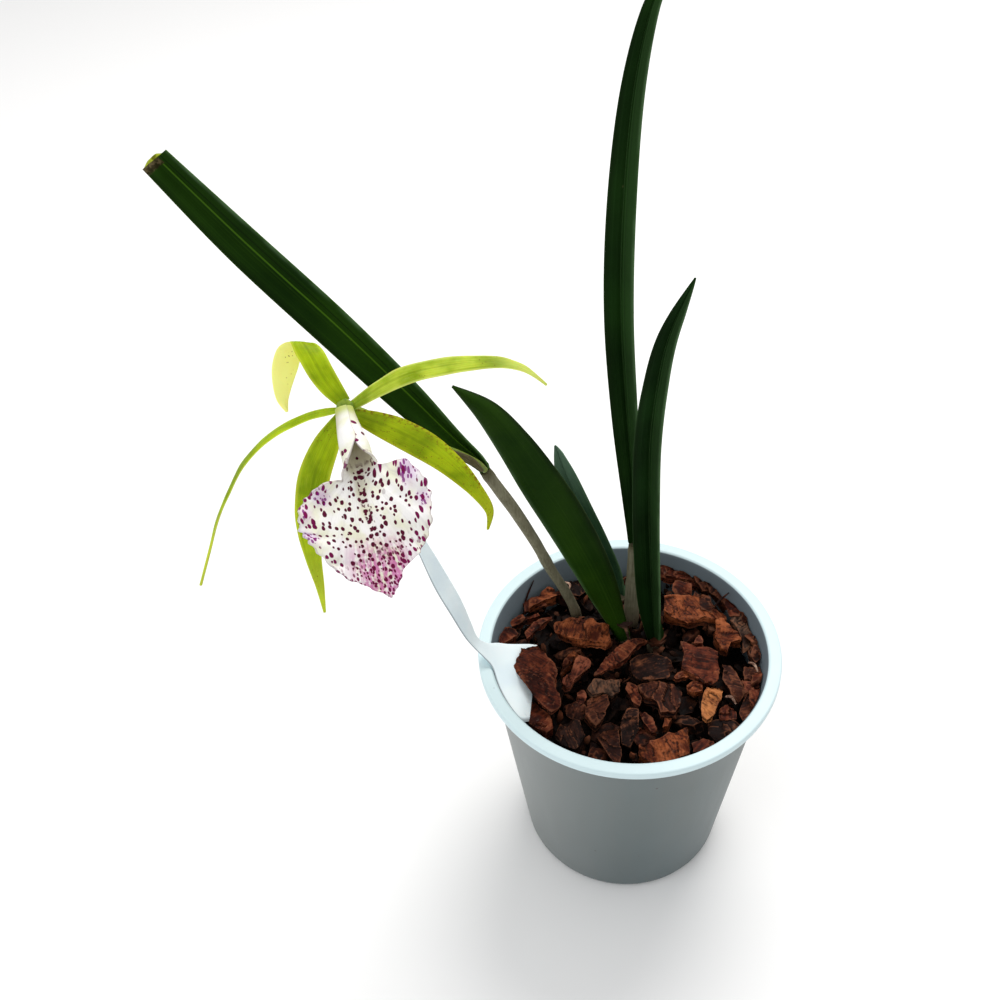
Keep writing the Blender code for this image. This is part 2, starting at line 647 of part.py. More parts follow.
def add_flower(green, lip_finish, column_finish, sheath_finish):
    for name, rows in TEPALS.items():
        blade(name, tepal_place(rows), 4, 2 * len(rows) - 2, TEPAL_THICKNESS, green, offset=-1.0)
    blade("lip", lip_place, 14, 22, LIP_THICKNESS, lip_finish, offset=-1.0)
    foot = FLOWER_CENTRE - FORWARDS * 2.4
    seat = [foot, FLOWER_CENTRE - FORWARDS * 1.2, FLOWER_CENTRE + FORWARDS * 0.6]
    points = [Vector(point) for point in STALK] + [foot - FORWARDS * 0.4]
    stalk = stem("flower_stalk", points, STALK_RADII, green, steps=20)
    receptacle = stem("receptacle", seat, [1.7, RECEPTACLE_RADIUS, RECEPTACLE_RADIUS], sides=8, steps=4)
    combine(stalk, [receptacle], "UNION")
    sheath_points, (sheath_widths,) = split_rows(SHEATH)

    def sheath_place(share, side):
        middle, across, face = strip_frame(sheath_points, [Vector(SHEATH_FACE)] * 2, share)
        reach = smooth(sheath_widths, share) * side
        return middle + across * reach - face * (reach * reach * SHEATH_CURL)

    blade("flower_sheath", sheath_place, 4, 8, TEPAL_THICKNESS, sheath_finish, offset=1.0)
    column = [in_flower(0.6, -1.0, 4.0), in_flower(1.2, -4.2, 4.9), in_flower(2.2, -8.4, 6.2)]
    stem("column", column, [0.8, 0.9, 1.2], column_finish, steps=4)


def main():
    clear_scene()
    plastic = material("pot_plastic", (0.62, 0.68, 0.72), 0.35)
    bark = material("bark", (0.21, 0.09, 0.05), 0.85)
    woody = material("rhizome_skin", (0.45, 0.4, 0.28), 0.7)
    sheath = material("cane_sheath", (0.36, 0.34, 0.26), 0.6)
    leaf = material("leaf_green", (0.03, 0.1, 0.02), 0.35)
    green = material("tepal_green", (0.5, 0.62, 0.05), 0.5)
    white = material("lip_white", (0.85, 0.82, 0.78), 0.5)
    label = material("label_white", (0.8, 0.87, 0.9), 0.35)
    add_pot(plastic)
    add_rhizome(woody)
    for key in CANES:
        cane_shape(f"cane_{key}", key, 0.0, sheath)
    for key in LEAVES:
        add_leaf(key, leaf)
    add_flower(green, white, white, sheath)
    add_label(label)
    cutters = rhizome_pieces(GAP) + [cane_shape("way", key, GAP) for key in CANES]
    cutters += [leaf_way(key) for key in ("b", "c", "e")]
    cutters.append(add_label(None, GAP))
    apply_modifiers(cutters[-1])
    add_bark(bark, cutters)


main()
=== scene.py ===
import functools
import math
import random

import bmesh
import bpy
from mathutils import Matrix, Vector, noise


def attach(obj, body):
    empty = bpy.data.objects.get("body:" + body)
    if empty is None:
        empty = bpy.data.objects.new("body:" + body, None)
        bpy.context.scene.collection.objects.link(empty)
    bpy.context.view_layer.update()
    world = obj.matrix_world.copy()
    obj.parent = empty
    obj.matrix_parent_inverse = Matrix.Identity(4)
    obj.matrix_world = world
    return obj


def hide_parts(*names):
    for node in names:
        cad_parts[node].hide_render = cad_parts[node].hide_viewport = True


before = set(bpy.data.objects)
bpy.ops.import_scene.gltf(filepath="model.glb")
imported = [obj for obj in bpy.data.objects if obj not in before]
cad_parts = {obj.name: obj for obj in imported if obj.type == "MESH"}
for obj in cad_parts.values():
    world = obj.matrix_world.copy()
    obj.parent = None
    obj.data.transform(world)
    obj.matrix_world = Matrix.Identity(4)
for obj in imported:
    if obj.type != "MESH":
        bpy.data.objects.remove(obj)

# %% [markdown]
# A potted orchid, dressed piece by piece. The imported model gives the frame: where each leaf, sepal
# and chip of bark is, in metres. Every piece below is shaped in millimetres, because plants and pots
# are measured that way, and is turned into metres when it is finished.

MM = 0.001
scene = bpy.context.scene
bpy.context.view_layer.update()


def vectors(rows):
    """The first three numbers of each row as a vector."""
    return [Vector(row[:3]) for row in rows]


print("nodes in the frame:", ", ".join(sorted(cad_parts)))

# %% [markdown]
# The camera stands in front of the plant, a little above the flower, and looks down into the pot.
# Its place was found by matching the pot's rim and base, which are true circles, to their ellipses.
# It is built from three directions at right angles: ahead, to the right and up.

# %% The camera
EYE = Vector((-0.0413, -0.2464, 0.3979))
LOOKS_DOWN = math.radians(42.57)
LEANS = math.radians(-3.74)
FOCAL_LENGTH = 39.6

ahead = Vector((0, math.cos(LOOKS_DOWN), -math.sin(LOOKS_DOWN)))
level = Vector((1, 0, 0))
upright = level.cross(ahead)
to_right = level * math.cos(LEANS) + upright * math.sin(LEANS)
to_top = upright * math.cos(LEANS) - level * math.sin(LEANS)
lens = bpy.data.cameras.new("camera")
lens.lens = FOCAL_LENGTH
lens.sensor_width = 36.0
lens.clip_start = 0.01
camera = bpy.data.objects.new("camera", lens)
camera.matrix_world = Matrix((to_right, to_top, -ahead)).transposed().to_4x4()
camera.matrix_world.translation = EYE
scene.collection.objects.link(camera)
scene.camera = camera
print("camera looks", [round(x, 3) for x in ahead])

# %% [markdown]
# Shader maths is easier to read as Python. A Wire holds one socket, and each operator on it adds the
# Math node that it stands for, so height * 2 + 1 becomes two nodes. A Finish holds one material, and
# its node() adds any other node: settings first, then the values or wires of its sockets. A surface
# is painted in coats: each coat covers the colour so far wherever its mask is 1.

# %% Wires and finishes
class Wire:
    """A shader socket that Python's operators work on."""

    def __init__(self, finish, socket):
        self.finish, self.socket = finish, socket

    def calc(self, operation, *others):
        return self.finish.calc(operation, self, *others)

    def __add__(self, other):
        return self.calc("ADD", other)

    def __sub__(self, other):
        return self.calc("SUBTRACT", other)

    def __rsub__(self, other):
        return self.finish.calc("SUBTRACT", other, self)

    def __mul__(self, other):
        return self.calc("MULTIPLY", other)

    def __pow__(self, other):
        return self.calc("POWER", other)

    def __abs__(self):
        return self.calc("ABSOLUTE")

    __radd__, __rmul__ = __add__, __mul__


class Finish:
    """One material, and the ways to add nodes to it."""

    def __init__(self, name, **fixed):
        self.material = bpy.data.materials.new(name)
        self.material.use_nodes = True
        self.tree = self.material.node_tree
        self.shader = self.tree.nodes["Principled BSDF"]
        self.colour = paint(255, 255, 255)
        for socket, value in fixed.items():
            self.give(socket.replace("_", " "), value)

    def plug(self, socket, value):
        if isinstance(value, Wire):
            self.tree.links.new(value.socket, socket)
        elif isinstance(value, tuple) and socket.type == "RGBA":
            socket.default_value = (*value, 1.0)
        else:
            socket.default_value = value

    def give(self, name, value):
        """Sets or links one of the shader's own sockets."""
        self.plug(self.shader.inputs[name], value)

    def node(self, kind, settings=None, inputs=None, output=0):
        made = self.tree.nodes.new(kind)
        for name, value in (settings or {}).items():
            if name == "stops":
                self.fill_ramp(made.color_ramp, value)
            else:
                setattr(made, name, value)
        for name, value in (inputs or {}).items():
            self.plug(made.inputs[name], value)
        return Wire(self, made.outputs[output])

    def fill_ramp(self, ramp, stops):
        while len(ramp.elements) < len(stops):
            ramp.elements.new(1.0)
        for element, (place, colour) in zip(ramp.elements, stops):
            element.position = place
            element.color = (*colour, 1.0)

    def calc(self, operation, *values):
        return self.node("ShaderNodeMath", {"operation": operation}, dict(enumerate(values)))

    def place(self):
        """The point on the piece in millimetres, from its Object coordinates."""
        spot = self.node("ShaderNodeTexCoord", output=3)
        return self.node("ShaderNodeVectorMath", {"operation": "SCALE"}, {0: spot, "Scale": 1000.0})

    def number(self, name):
        return self.node("ShaderNodeAttribute", {"attribute_name": name}, output=2)

    def direction(self, name):
        return self.node("ShaderNodeAttribute", {"attribute_name": name}, output=1)

    def parts(self, vector):
        return [self.node("ShaderNodeSeparateXYZ", None, {0: vector}, output=k) for k in range(3)]

    def vector(self, x, y, z=0.0):
        return self.node("ShaderNodeCombineXYZ", None, {0: x, 1: y, 2: z})

    def noise(self, vector, scale, detail=2.0, rough=0.5):
        inputs = {"Vector": vector, "Scale": scale, "Detail": detail, "Roughness": rough}
        return self.node("ShaderNodeTexNoise", None, inputs)

    def cells(self, vector, scale, random_share=1.0, output=0, flat=False):
        """Voronoi cells: 0 gives the distance to the nearest point, 1 that cell's own random colour."""
        settings = {"voronoi_dimensions": "2D" if flat else "3D"}
        inputs = {"Vector": vector, "Scale": scale, "Randomness": random_share}
        return self.node("ShaderNodeTexVoronoi", settings, inputs, output=output)

    def specks(self, spot, close, dot, clump, where):
        """Dots all over the surface, kept only where a cloud of noise is high."""
        dots = self.step(self.cells(spot, close), *dot)
        return dots * self.step(self.noise(spot, clump), *where)

    def step(self, value, low, high):
        """0 below low, 1 above high, and a soft step between them. A higher low turns it round."""
        turned = low > high
        ends = {0: value, 1: min(low, high), 2: max(low, high), 3: float(turned), 4: float(not turned)}
        return self.node("ShaderNodeMapRange", {"interpolation_type": "SMOOTHSTEP"}, ends)

    def blend(self, share, first, second, mode="MIX"):
        """A colour mixed from two, by share."""
        settings = {"data_type": "RGBA", "blend_type": mode}
        return self.node("ShaderNodeMix", settings, {0: share, 6: first, 7: second}, output=2)

    def coat(self, share, colour):
        """Covers the colour so far with another one, by share."""
        self.colour = self.blend(share, self.colour, colour)

    def ramp(self, share, stops):
        return self.node("ShaderNodeValToRGB", {"stops": stops}, {0: share})

    def done(self, rough, height):
        """Gives the shader the colour so far, a roughness and a bump, whose height is in millimetres."""
        bump = self.node("ShaderNodeBump", None, {"Height": height, "Distance": MM, "Strength": 1.0})
        for name, value in (("Base Color", self.colour), ("Roughness", rough), ("Normal", bump)):
            self.give(name, value)
        return self


def paint(*channels):
    """A colour read off a screen, red, green and blue from 0 to 255, as the light values that shaders use."""
    shares = [channel / 255 for channel in channels]
    return tuple(x / 12.92 if x <= 0.04045 else ((x + 0.055) / 1.055) ** 2.4 for x in shares)


print("white paint is", paint(255, 255, 255))

# %% [markdown]
# A studio for a small white pot: a pale floor, an even pale sky all round, and one wide soft lamp high
# behind the plant with a weaker one in front. The light from above and behind puts the brightness on
# the rim, the bark and the flower, and leaves the front of the pot in soft shade, which the pot's finish
# deepens with painted shade.

# %% Floor and light
def pale_floor():
    bm = bmesh.new()
    just_below = Matrix.Translation((0, 0, -0.0002))
    bmesh.ops.create_grid(bm, x_segments=1, y_segments=1, size=4.0, matrix=just_below)
    mesh = bpy.data.meshes.new("floor")
    bm.to_mesh(mesh)
    bm.free()
    floor = bpy.data.objects.new("floor", mesh)
    finish = Finish("floor_paper", Base_Color=(0.9, 0.9, 0.9), Roughness=0.9, Specular_IOR_Level=0.1)
    mesh.materials.append(finish.material)
    scene.collection.objects.link(floor)


def soft_lamp(name, place, aim, size, power, colour):
    light = bpy.data.lights.new(name, "AREA")
    light.shape = "DISK"
    light.size = size
    light.energy = power
    light.color = colour
    lamp = bpy.data.objects.new(name, light)
    turn = (Vector(aim) - Vector(place)).to_track_quat("-Z", "Y")
    lamp.matrix_world = Matrix.Translation(place) @ turn.to_matrix().to_4x4()
    scene.collection.objects.link(lamp)


pale_floor()
sky = bpy.data.worlds.new("sky")
sky.use_nodes = True
sky.node_tree.nodes["Background"].inputs["Color"].default_value = (1.0, 1.0, 1.0, 1.0)
sky.node_tree.nodes["Background"].inputs["Strength"].default_value = 0.75
scene.world = sky
scene.view_settings.view_transform = "Standard"
soft_lamp("window", (0.25, 0.55, 1.1), (0, 0, 0.1), 0.7, 9.0, (1.0, 0.98, 0.95))
soft_lamp("fill", (-0.9, -0.5, 0.7), (0, 0, 0.15), 0.9, 3.0, (0.94, 0.97, 1.0))

# %% [markdown]
# Every piece ends the same way. Its shape is a bmesh and some columns of numbers, one for each point.
# The bmesh is scaled to metres, the columns become attributes that the materials read, the piece gets
# its finish and is hung on the body it rides on, and the solids it stands for are hidden.

# %% Finishing a piece
def mesh_of(name, bm):
    """A bmesh in millimetres as a mesh in metres."""
    bm.transform(Matrix.Scale(MM, 4))
    mesh = bpy.data.meshes.new(name)
    bm.to_mesh(mesh)
    bm.free()
    return mesh


def add_piece(name, shape, finish, stands_for, sharp=40):
    bm, columns = shape
    mesh = mesh_of(name, bm)
    for label, values in columns.items():
        if isinstance(values[0], (float, int)):
            mesh.attributes.new(label, "FLOAT", "POINT").data.foreach_set("value", values)
        else:
            flat = [x for value in values for x in value]
            mesh.attributes.new(label, "FLOAT_VECTOR", "POINT").data.foreach_set("vector", flat)
    mesh.materials.append(finish.material)
    mesh.shade_smooth()
    mesh.set_sharp_from_angle(angle=math.radians(sharp))
    piece = bpy.data.objects.new(name, mesh)
    scene.collection.objects.link(piece)
    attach(piece, "root")
    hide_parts(*stands_for)
    print(f"{name}: {len(mesh.vertices)} points, {len(mesh.polygons)} faces")
    return piece


def smooth(values, share):
    """The value at share (0 to 1) on a smooth curve through evenly spaced numbers or vectors."""
    place = min(max(share, 0.0), 1.0) * (len(values) - 1)
    at = min(int(place), len(values) - 2)
    t = place - at
    a, b, c, d = (values[min(max(at + k, 0), len(values) - 1)] for k in (-1, 0, 1, 2))
    slope, bend, twist = c - a, a * 2 - b * 5 + c * 4 - d, b * 3 - a - c * 3 + d
    return b + (slope * t + bend * (t * t) + twist * t ** 3) * 0.5


# %% [markdown]
# The pot is one thin shell of moulded plastic: a slightly tapered wall, a rolled rim and a flat foot
# with holes to let water out. Anything that came out of a round mould is quickest to make as it was
# designed, by turning a profile, and its few sharp rings are then bevelled as the mould maker would.

# %% The pot's shape
POT_HEIGHT, RIM_RADIUS, RIM_LIP, RIM_SKIRT = 99.0, 52.5, 4.2, 3.0
WALL, WALL_TOP_RADIUS, BASE_RADIUS, BASE_ROUNDING, FLOOR = 1.2, 48.9, 38.0, 4.0, 2.2


def wall_radius(height, inside=True):
    share = (height - BASE_ROUNDING) / (POT_HEIGHT - BASE_ROUNDING)
    outer = BASE_RADIUS + (WALL_TOP_RADIUS - BASE_RADIUS) * share
    return outer - WALL if inside else outer


def turned(profile, steps):
    """A profile of (radius, height) turned about Z into a closed bmesh."""
    bm = bmesh.new()
    dots = [bm.verts.new((radius, 0, height)) for radius, height in profile]
    edges = [bm.edges.new(pair) for pair in zip(dots, dots[1:])]
    about_z = {"cent": (0, 0, 0), "axis": (0, 0, 1), "angle": math.tau}
    bmesh.ops.spin(bm, geom=dots + edges, steps=steps, use_merge=True, **about_z)
    bmesh.ops.remove_doubles(bm, verts=bm.verts, dist=0.001)
    bmesh.ops.recalc_face_normals(bm, faces=bm.faces)
    return bm


def pot_shape():
    corner = [
        (BASE_RADIUS - BASE_ROUNDING * (1 - math.sin(turn)), BASE_ROUNDING * (1 - math.cos(turn)))
        for turn in (math.radians(15 * k) for k in range(7))
    ]
    under_rim = POT_HEIGHT - RIM_SKIRT
    wall = [(wall_radius(z, False), z) for z in (25, 50, 75, under_rim)]
    inside = [(wall_radius(z), z) for z in (75, 50, 25, FLOOR + BASE_ROUNDING)]
    profile = [
        (0, 0), *corner, *wall, (RIM_RADIUS, under_rim), (RIM_RADIUS, POT_HEIGHT),
        (RIM_RADIUS - RIM_LIP, POT_HEIGHT), (wall_radius(POT_HEIGHT - 1.4), POT_HEIGHT - 1.4), *inside,
        (wall_radius(BASE_ROUNDING) - BASE_ROUNDING, FLOOR), (0, FLOOR),
    ]
    bm = turned(profile, 144)
    rings = [
        edge for edge in bm.edges
        if edge.calc_face_angle(0) > math.radians(30) and abs(edge.verts[0].co.z - edge.verts[1].co.z) < 0.01
    ]
    bmesh.ops.bevel(
        bm, geom=rings, offset=0.6, segments=4, profile=0.5, affect="EDGES", material=-1, clamp_overlap=True
    )
    return bm


print("pot wall at mid height:", round(wall_radius(50), 2), "mm inside")

# %% [markdown]
# The drain holes and the shallow grooves that lead water out to the edge of the foot are cut with a
# Boolean, which is the tool for it: the cutters are plain rods and bars, and the cut is applied.

# %% The pot's drain holes
DRAIN_HOLES, DRAIN_HOLE_RADIUS, DRAIN_CIRCLE = 6, 3.5, 25.0
DRAIN_GROOVE, DRAIN_GROOVE_WIDTH = 1.1, 9.0


def drain_cutters():
    cutters = []
    length = BASE_RADIUS - DRAIN_CIRCLE + 4
    flatten = Matrix.Diagonal((1, 1, DRAIN_GROOVE / DRAIN_GROOVE_WIDTH * 2, 1))
    lie_down = Matrix.Rotation(math.pi / 2, 4, "Y")
    for k in range(DRAIN_HOLES):
        turn = Matrix.Rotation(math.tau * (k + 0.62) / DRAIN_HOLES, 4, "Z")
        hole, groove = bmesh.new(), bmesh.new()
        bmesh.ops.create_cone(
            hole, cap_ends=True, segments=32, radius1=DRAIN_HOLE_RADIUS, radius2=DRAIN_HOLE_RADIUS,
            depth=4 * FLOOR, matrix=turn @ Matrix.Translation((DRAIN_CIRCLE, 0, 0)),
        )
        bmesh.ops.create_cone(
            groove, cap_ends=True, segments=32, depth=length,
            radius1=DRAIN_GROOVE_WIDTH / 2, radius2=DRAIN_GROOVE_WIDTH / 2,
            matrix=turn @ Matrix.Translation((DRAIN_CIRCLE + length / 2, 0, 0)) @ flatten @ lie_down,
        )
        for bm in (hole, groove):
            cutters.append(bpy.data.objects.new("drain", mesh_of("drain", bm)))
    return cutters


def cut(piece, cutters):
    """Cuts all the cutters out of a piece with one applied Boolean."""
    group = bpy.data.collections.new("cutters")
    for each in cutters:
        group.objects.link(each)
    scene.collection.children.link(group)
    boolean = piece.modifiers.new("cut", "BOOLEAN")
    boolean.operand_type = "COLLECTION"
    boolean.solver = "EXACT"
    boolean.collection = group
    done = bpy.data.meshes.new_from_object(piece.evaluated_get(bpy.context.evaluated_depsgraph_get()))
    piece.modifiers.clear()
    piece.data = done
    for each in cutters:
        bpy.data.objects.remove(each)
    bpy.data.collections.remove(group)


# %% [markdown]
# Moulded plastic looks plain but isn't flat: the rim glows because light passes through its thin edge,
# and its near white is the plastic's own colour. The wall outside and in is painted in the greys of
# shade, darker towards the bottom, lighter on the left where the light falls, and lighter inside than
# out. Months of watering leave faint runs and specks. Roughness and a very shallow bump carry the satin
# of the mould.

# %% The pot's finish
def pot_finish():
    finish = Finish("pot_plastic", Specular_IOR_Level=0.35)
    spot = finish.place()
    x, y, z = finish.parts(spot)
    radius = (x * x + y * y) ** 0.5
    skirt = finish.step(z, 95.5, 96.1) * finish.step(radius, 49.5, 50.1)
    rim = finish.calc("MAXIMUM", skirt, finish.step(z, 98.25, 98.65))
    runs = finish.noise(finish.vector(x * 0.12, y * 0.12, z * 0.01), 1.0, 2.0)
    cloud = finish.noise(spot, 0.02, 2.0)
    # Painted shade: the outer wall is painted grey, darker towards the bottom.
    finish.colour = finish.blend(finish.step(z, 2.0, 80.0), paint(82, 93, 94), paint(95, 105, 105))
    finish.coat(finish.step(cloud, 0.35, 0.7) * 0.3, paint(98, 112, 116))
    finish.coat(finish.step(runs, 0.4, 0.75) * 0.25, paint(108, 112, 110))
    # Painted light on the left of the wall, where the light falls.
    finish.coat(finish.step(x, 4.0, -42.0) * 0.45, paint(146, 148, 146))
    # Painted shade on the inner wall, a lighter grey than outside.
    inside = finish.step(radius - z * 0.1147, 37.1, 36.8) * finish.step(z, 1.5, 2.5)
    finish.coat(inside * 0.9, paint(104, 116, 124))
    finish.coat(rim, paint(204, 224, 228))
    finish.coat(finish.specks(spot, 0.13, (0.07, 0.04), 0.05, (0.48, 0.56)) * 0.75, paint(70, 64, 60))
    grain = finish.noise(spot, 3.0, 2.0)
    return finish.done(0.34 + 0.14 * runs + 0.06 * grain, 0.012 * grain + 0.05 * cloud)


pot = add_piece("pot_shell", (pot_shape(), {}), pot_finish(), ["pot"], sharp=50)
cut(pot, drain_cutters())
pot.data.shade_smooth()
pot.data.set_sharp_from_angle(angle=math.radians(50))
print("pot faces after the holes are cut:", len(pot.data.polygons))

# %% [markdown]
# The orchid stands in chopped pine bark. Each chip is a flake broken off a thick slab: an angular
# outline, a top that steps down where a layer came away, and sides that show the layers edge-on. So a
# chip starts as an outline pushed down into a slab, and a few of its corners are struck off flat.

# %% One chip of bark
def chip_slab(outline, thick, draw):
    """A slab hung below an outline, with corners struck off by flat cuts."""
    bm = bmesh.new()
    dots = [bm.verts.new((x, y, 0)) for x, y in outline]
    bmesh.ops.contextual_create(bm, geom=dots)
    middle = sum((dot.co for dot in dots), Vector()) / len(dots)
    reach = max((dot.co - middle).length for dot in dots)
    for part in bmesh.ops.extrude_face_region(bm, geom=bm.faces[:])["geom"]:
        if isinstance(part, bmesh.types.BMVert):
            part.co = middle + (part.co - middle) * draw.uniform(0.78, 1.02) + Vector((0, 0, -thick))
    bmesh.ops.recalc_face_normals(bm, faces=bm.faces)
    for _ in range(4):
        around = draw.uniform(0, math.tau)
        out = Vector((math.cos(around), math.sin(around), 0))
        spot = middle + out * reach * draw.uniform(0.2, 0.65)
        slope = out + Vector((0, 0, draw.uniform(1.6, 4.5)))
        whole = bm.verts[:] + bm.edges[:] + bm.faces[:]
        plane = {"plane_co": spot, "plane_no": slope}
        opened = bmesh.ops.bisect_plane(bm, geom=whole, dist=0.001, clear_outer=True, **plane)
        rim = [part for part in opened["geom_cut"] if isinstance(part, bmesh.types.BMEdge)]
        bmesh.ops.holes_fill(bm, edges=rim)
    bmesh.ops.recalc_face_normals(bm, faces=bm.faces)
    return bm


def cut_fine(bm, longest):
    """Splits every edge that is longer than longest, until none is."""
    bmesh.ops.triangulate(bm, faces=bm.faces)
    for _ in range(6):
        long_edges = [edge for edge in bm.edges if edge.calc_length() > longest]
        if not long_edges:
            break
        bmesh.ops.subdivide_edges(bm, edges=long_edges, cuts=1, use_grid_fill=True)
        bmesh.ops.triangulate(bm, faces=bm.faces)


def weather_chip(bm, seed):
    """Gives a flat-cut slab the ledges, broken layers and fibres of bark."""
    shift = Vector((seed * 17.3, seed * 7.9, seed * 3.1))
    with_grain = Matrix.Rotation(seed * 1.9, 3, "Z")
    bm.normal_update()
    for dot in bm.verts:
        spot, out = dot.co.copy(), dot.normal.copy()
        layer = math.floor((spot.z + noise.noise(spot * 0.18 + shift) * 1.2) / 0.85)
        side_on = max(0.0, 1 - abs(out.z) * 1.4)
        ledge = noise.cell(Vector((layer * 1.7 + seed, seed * 5.1, 0.0))) * 0.7 * side_on
        grain = with_grain @ spot
        fibre = noise.noise(Vector((grain.x * 0.12, grain.y * 1.2, grain.z)) + shift) * 0.28
        lump = noise.noise(spot * 0.16 + shift) * 1.1 + noise.noise(spot * 0.5 + shift) * 0.4
        strip = math.floor(grain.y * 0.3 + noise.noise(spot * 0.13 + shift) * 1.5)
        plate = math.floor(grain.x * 0.13 + noise.noise(spot * 0.2 + shift) * 0.8 + strip * 0.37)
        broken = noise.cell(Vector((strip * 3.7, plate * 5.3, seed * 1.3))) * 0.6 * max(0.0, out.z)
        dot.co = spot + out * (fibre + lump - abs(ledge)) + Vector((0, 0, broken))


def chip_place(centre, turns):
    yaw, pitch, roll = (math.radians(turn) for turn in turns)
    spin = Matrix.Rotation(yaw, 4, "Z") @ Matrix.Rotation(pitch, 4, "Y") @ Matrix.Rotation(roll, 4, "X")
    return Matrix.Translation(centre) @ spin


square = [(-5, -5), (5, -5), (5, 5), (-5, 5)]
print("a chip starts with", len(chip_slab(square, 4, random.Random(1)).faces), "faces")

# %% [markdown]
# The chips that show best are outlined one by one, so the bed matches the real one where the eye
# rests: the tint of the bark, the height of its top, its thickness and its corners. Looser chips fill
# the gaps below by the golden angle, which spreads points evenly over a disc. Each chip keeps its own
# tint, its grain and how far each point bulges out or sinks in as attributes for the material, which
# paints raised edges paler, partly as rubbed bark and partly as painted highlight, and paints shade
# into the hollows.

# %% The bed of bark
TINTS = {
    "orange": paint(138, 72, 38), "rust": paint(92, 38, 20), "brown": paint(72, 34, 20),
    "dark": paint(44, 21, 14), "pink": paint(132, 70, 50), "grey": paint(80, 60, 48),
    "straw": paint(172, 108, 60), "pale": paint(204, 172, 150),
}
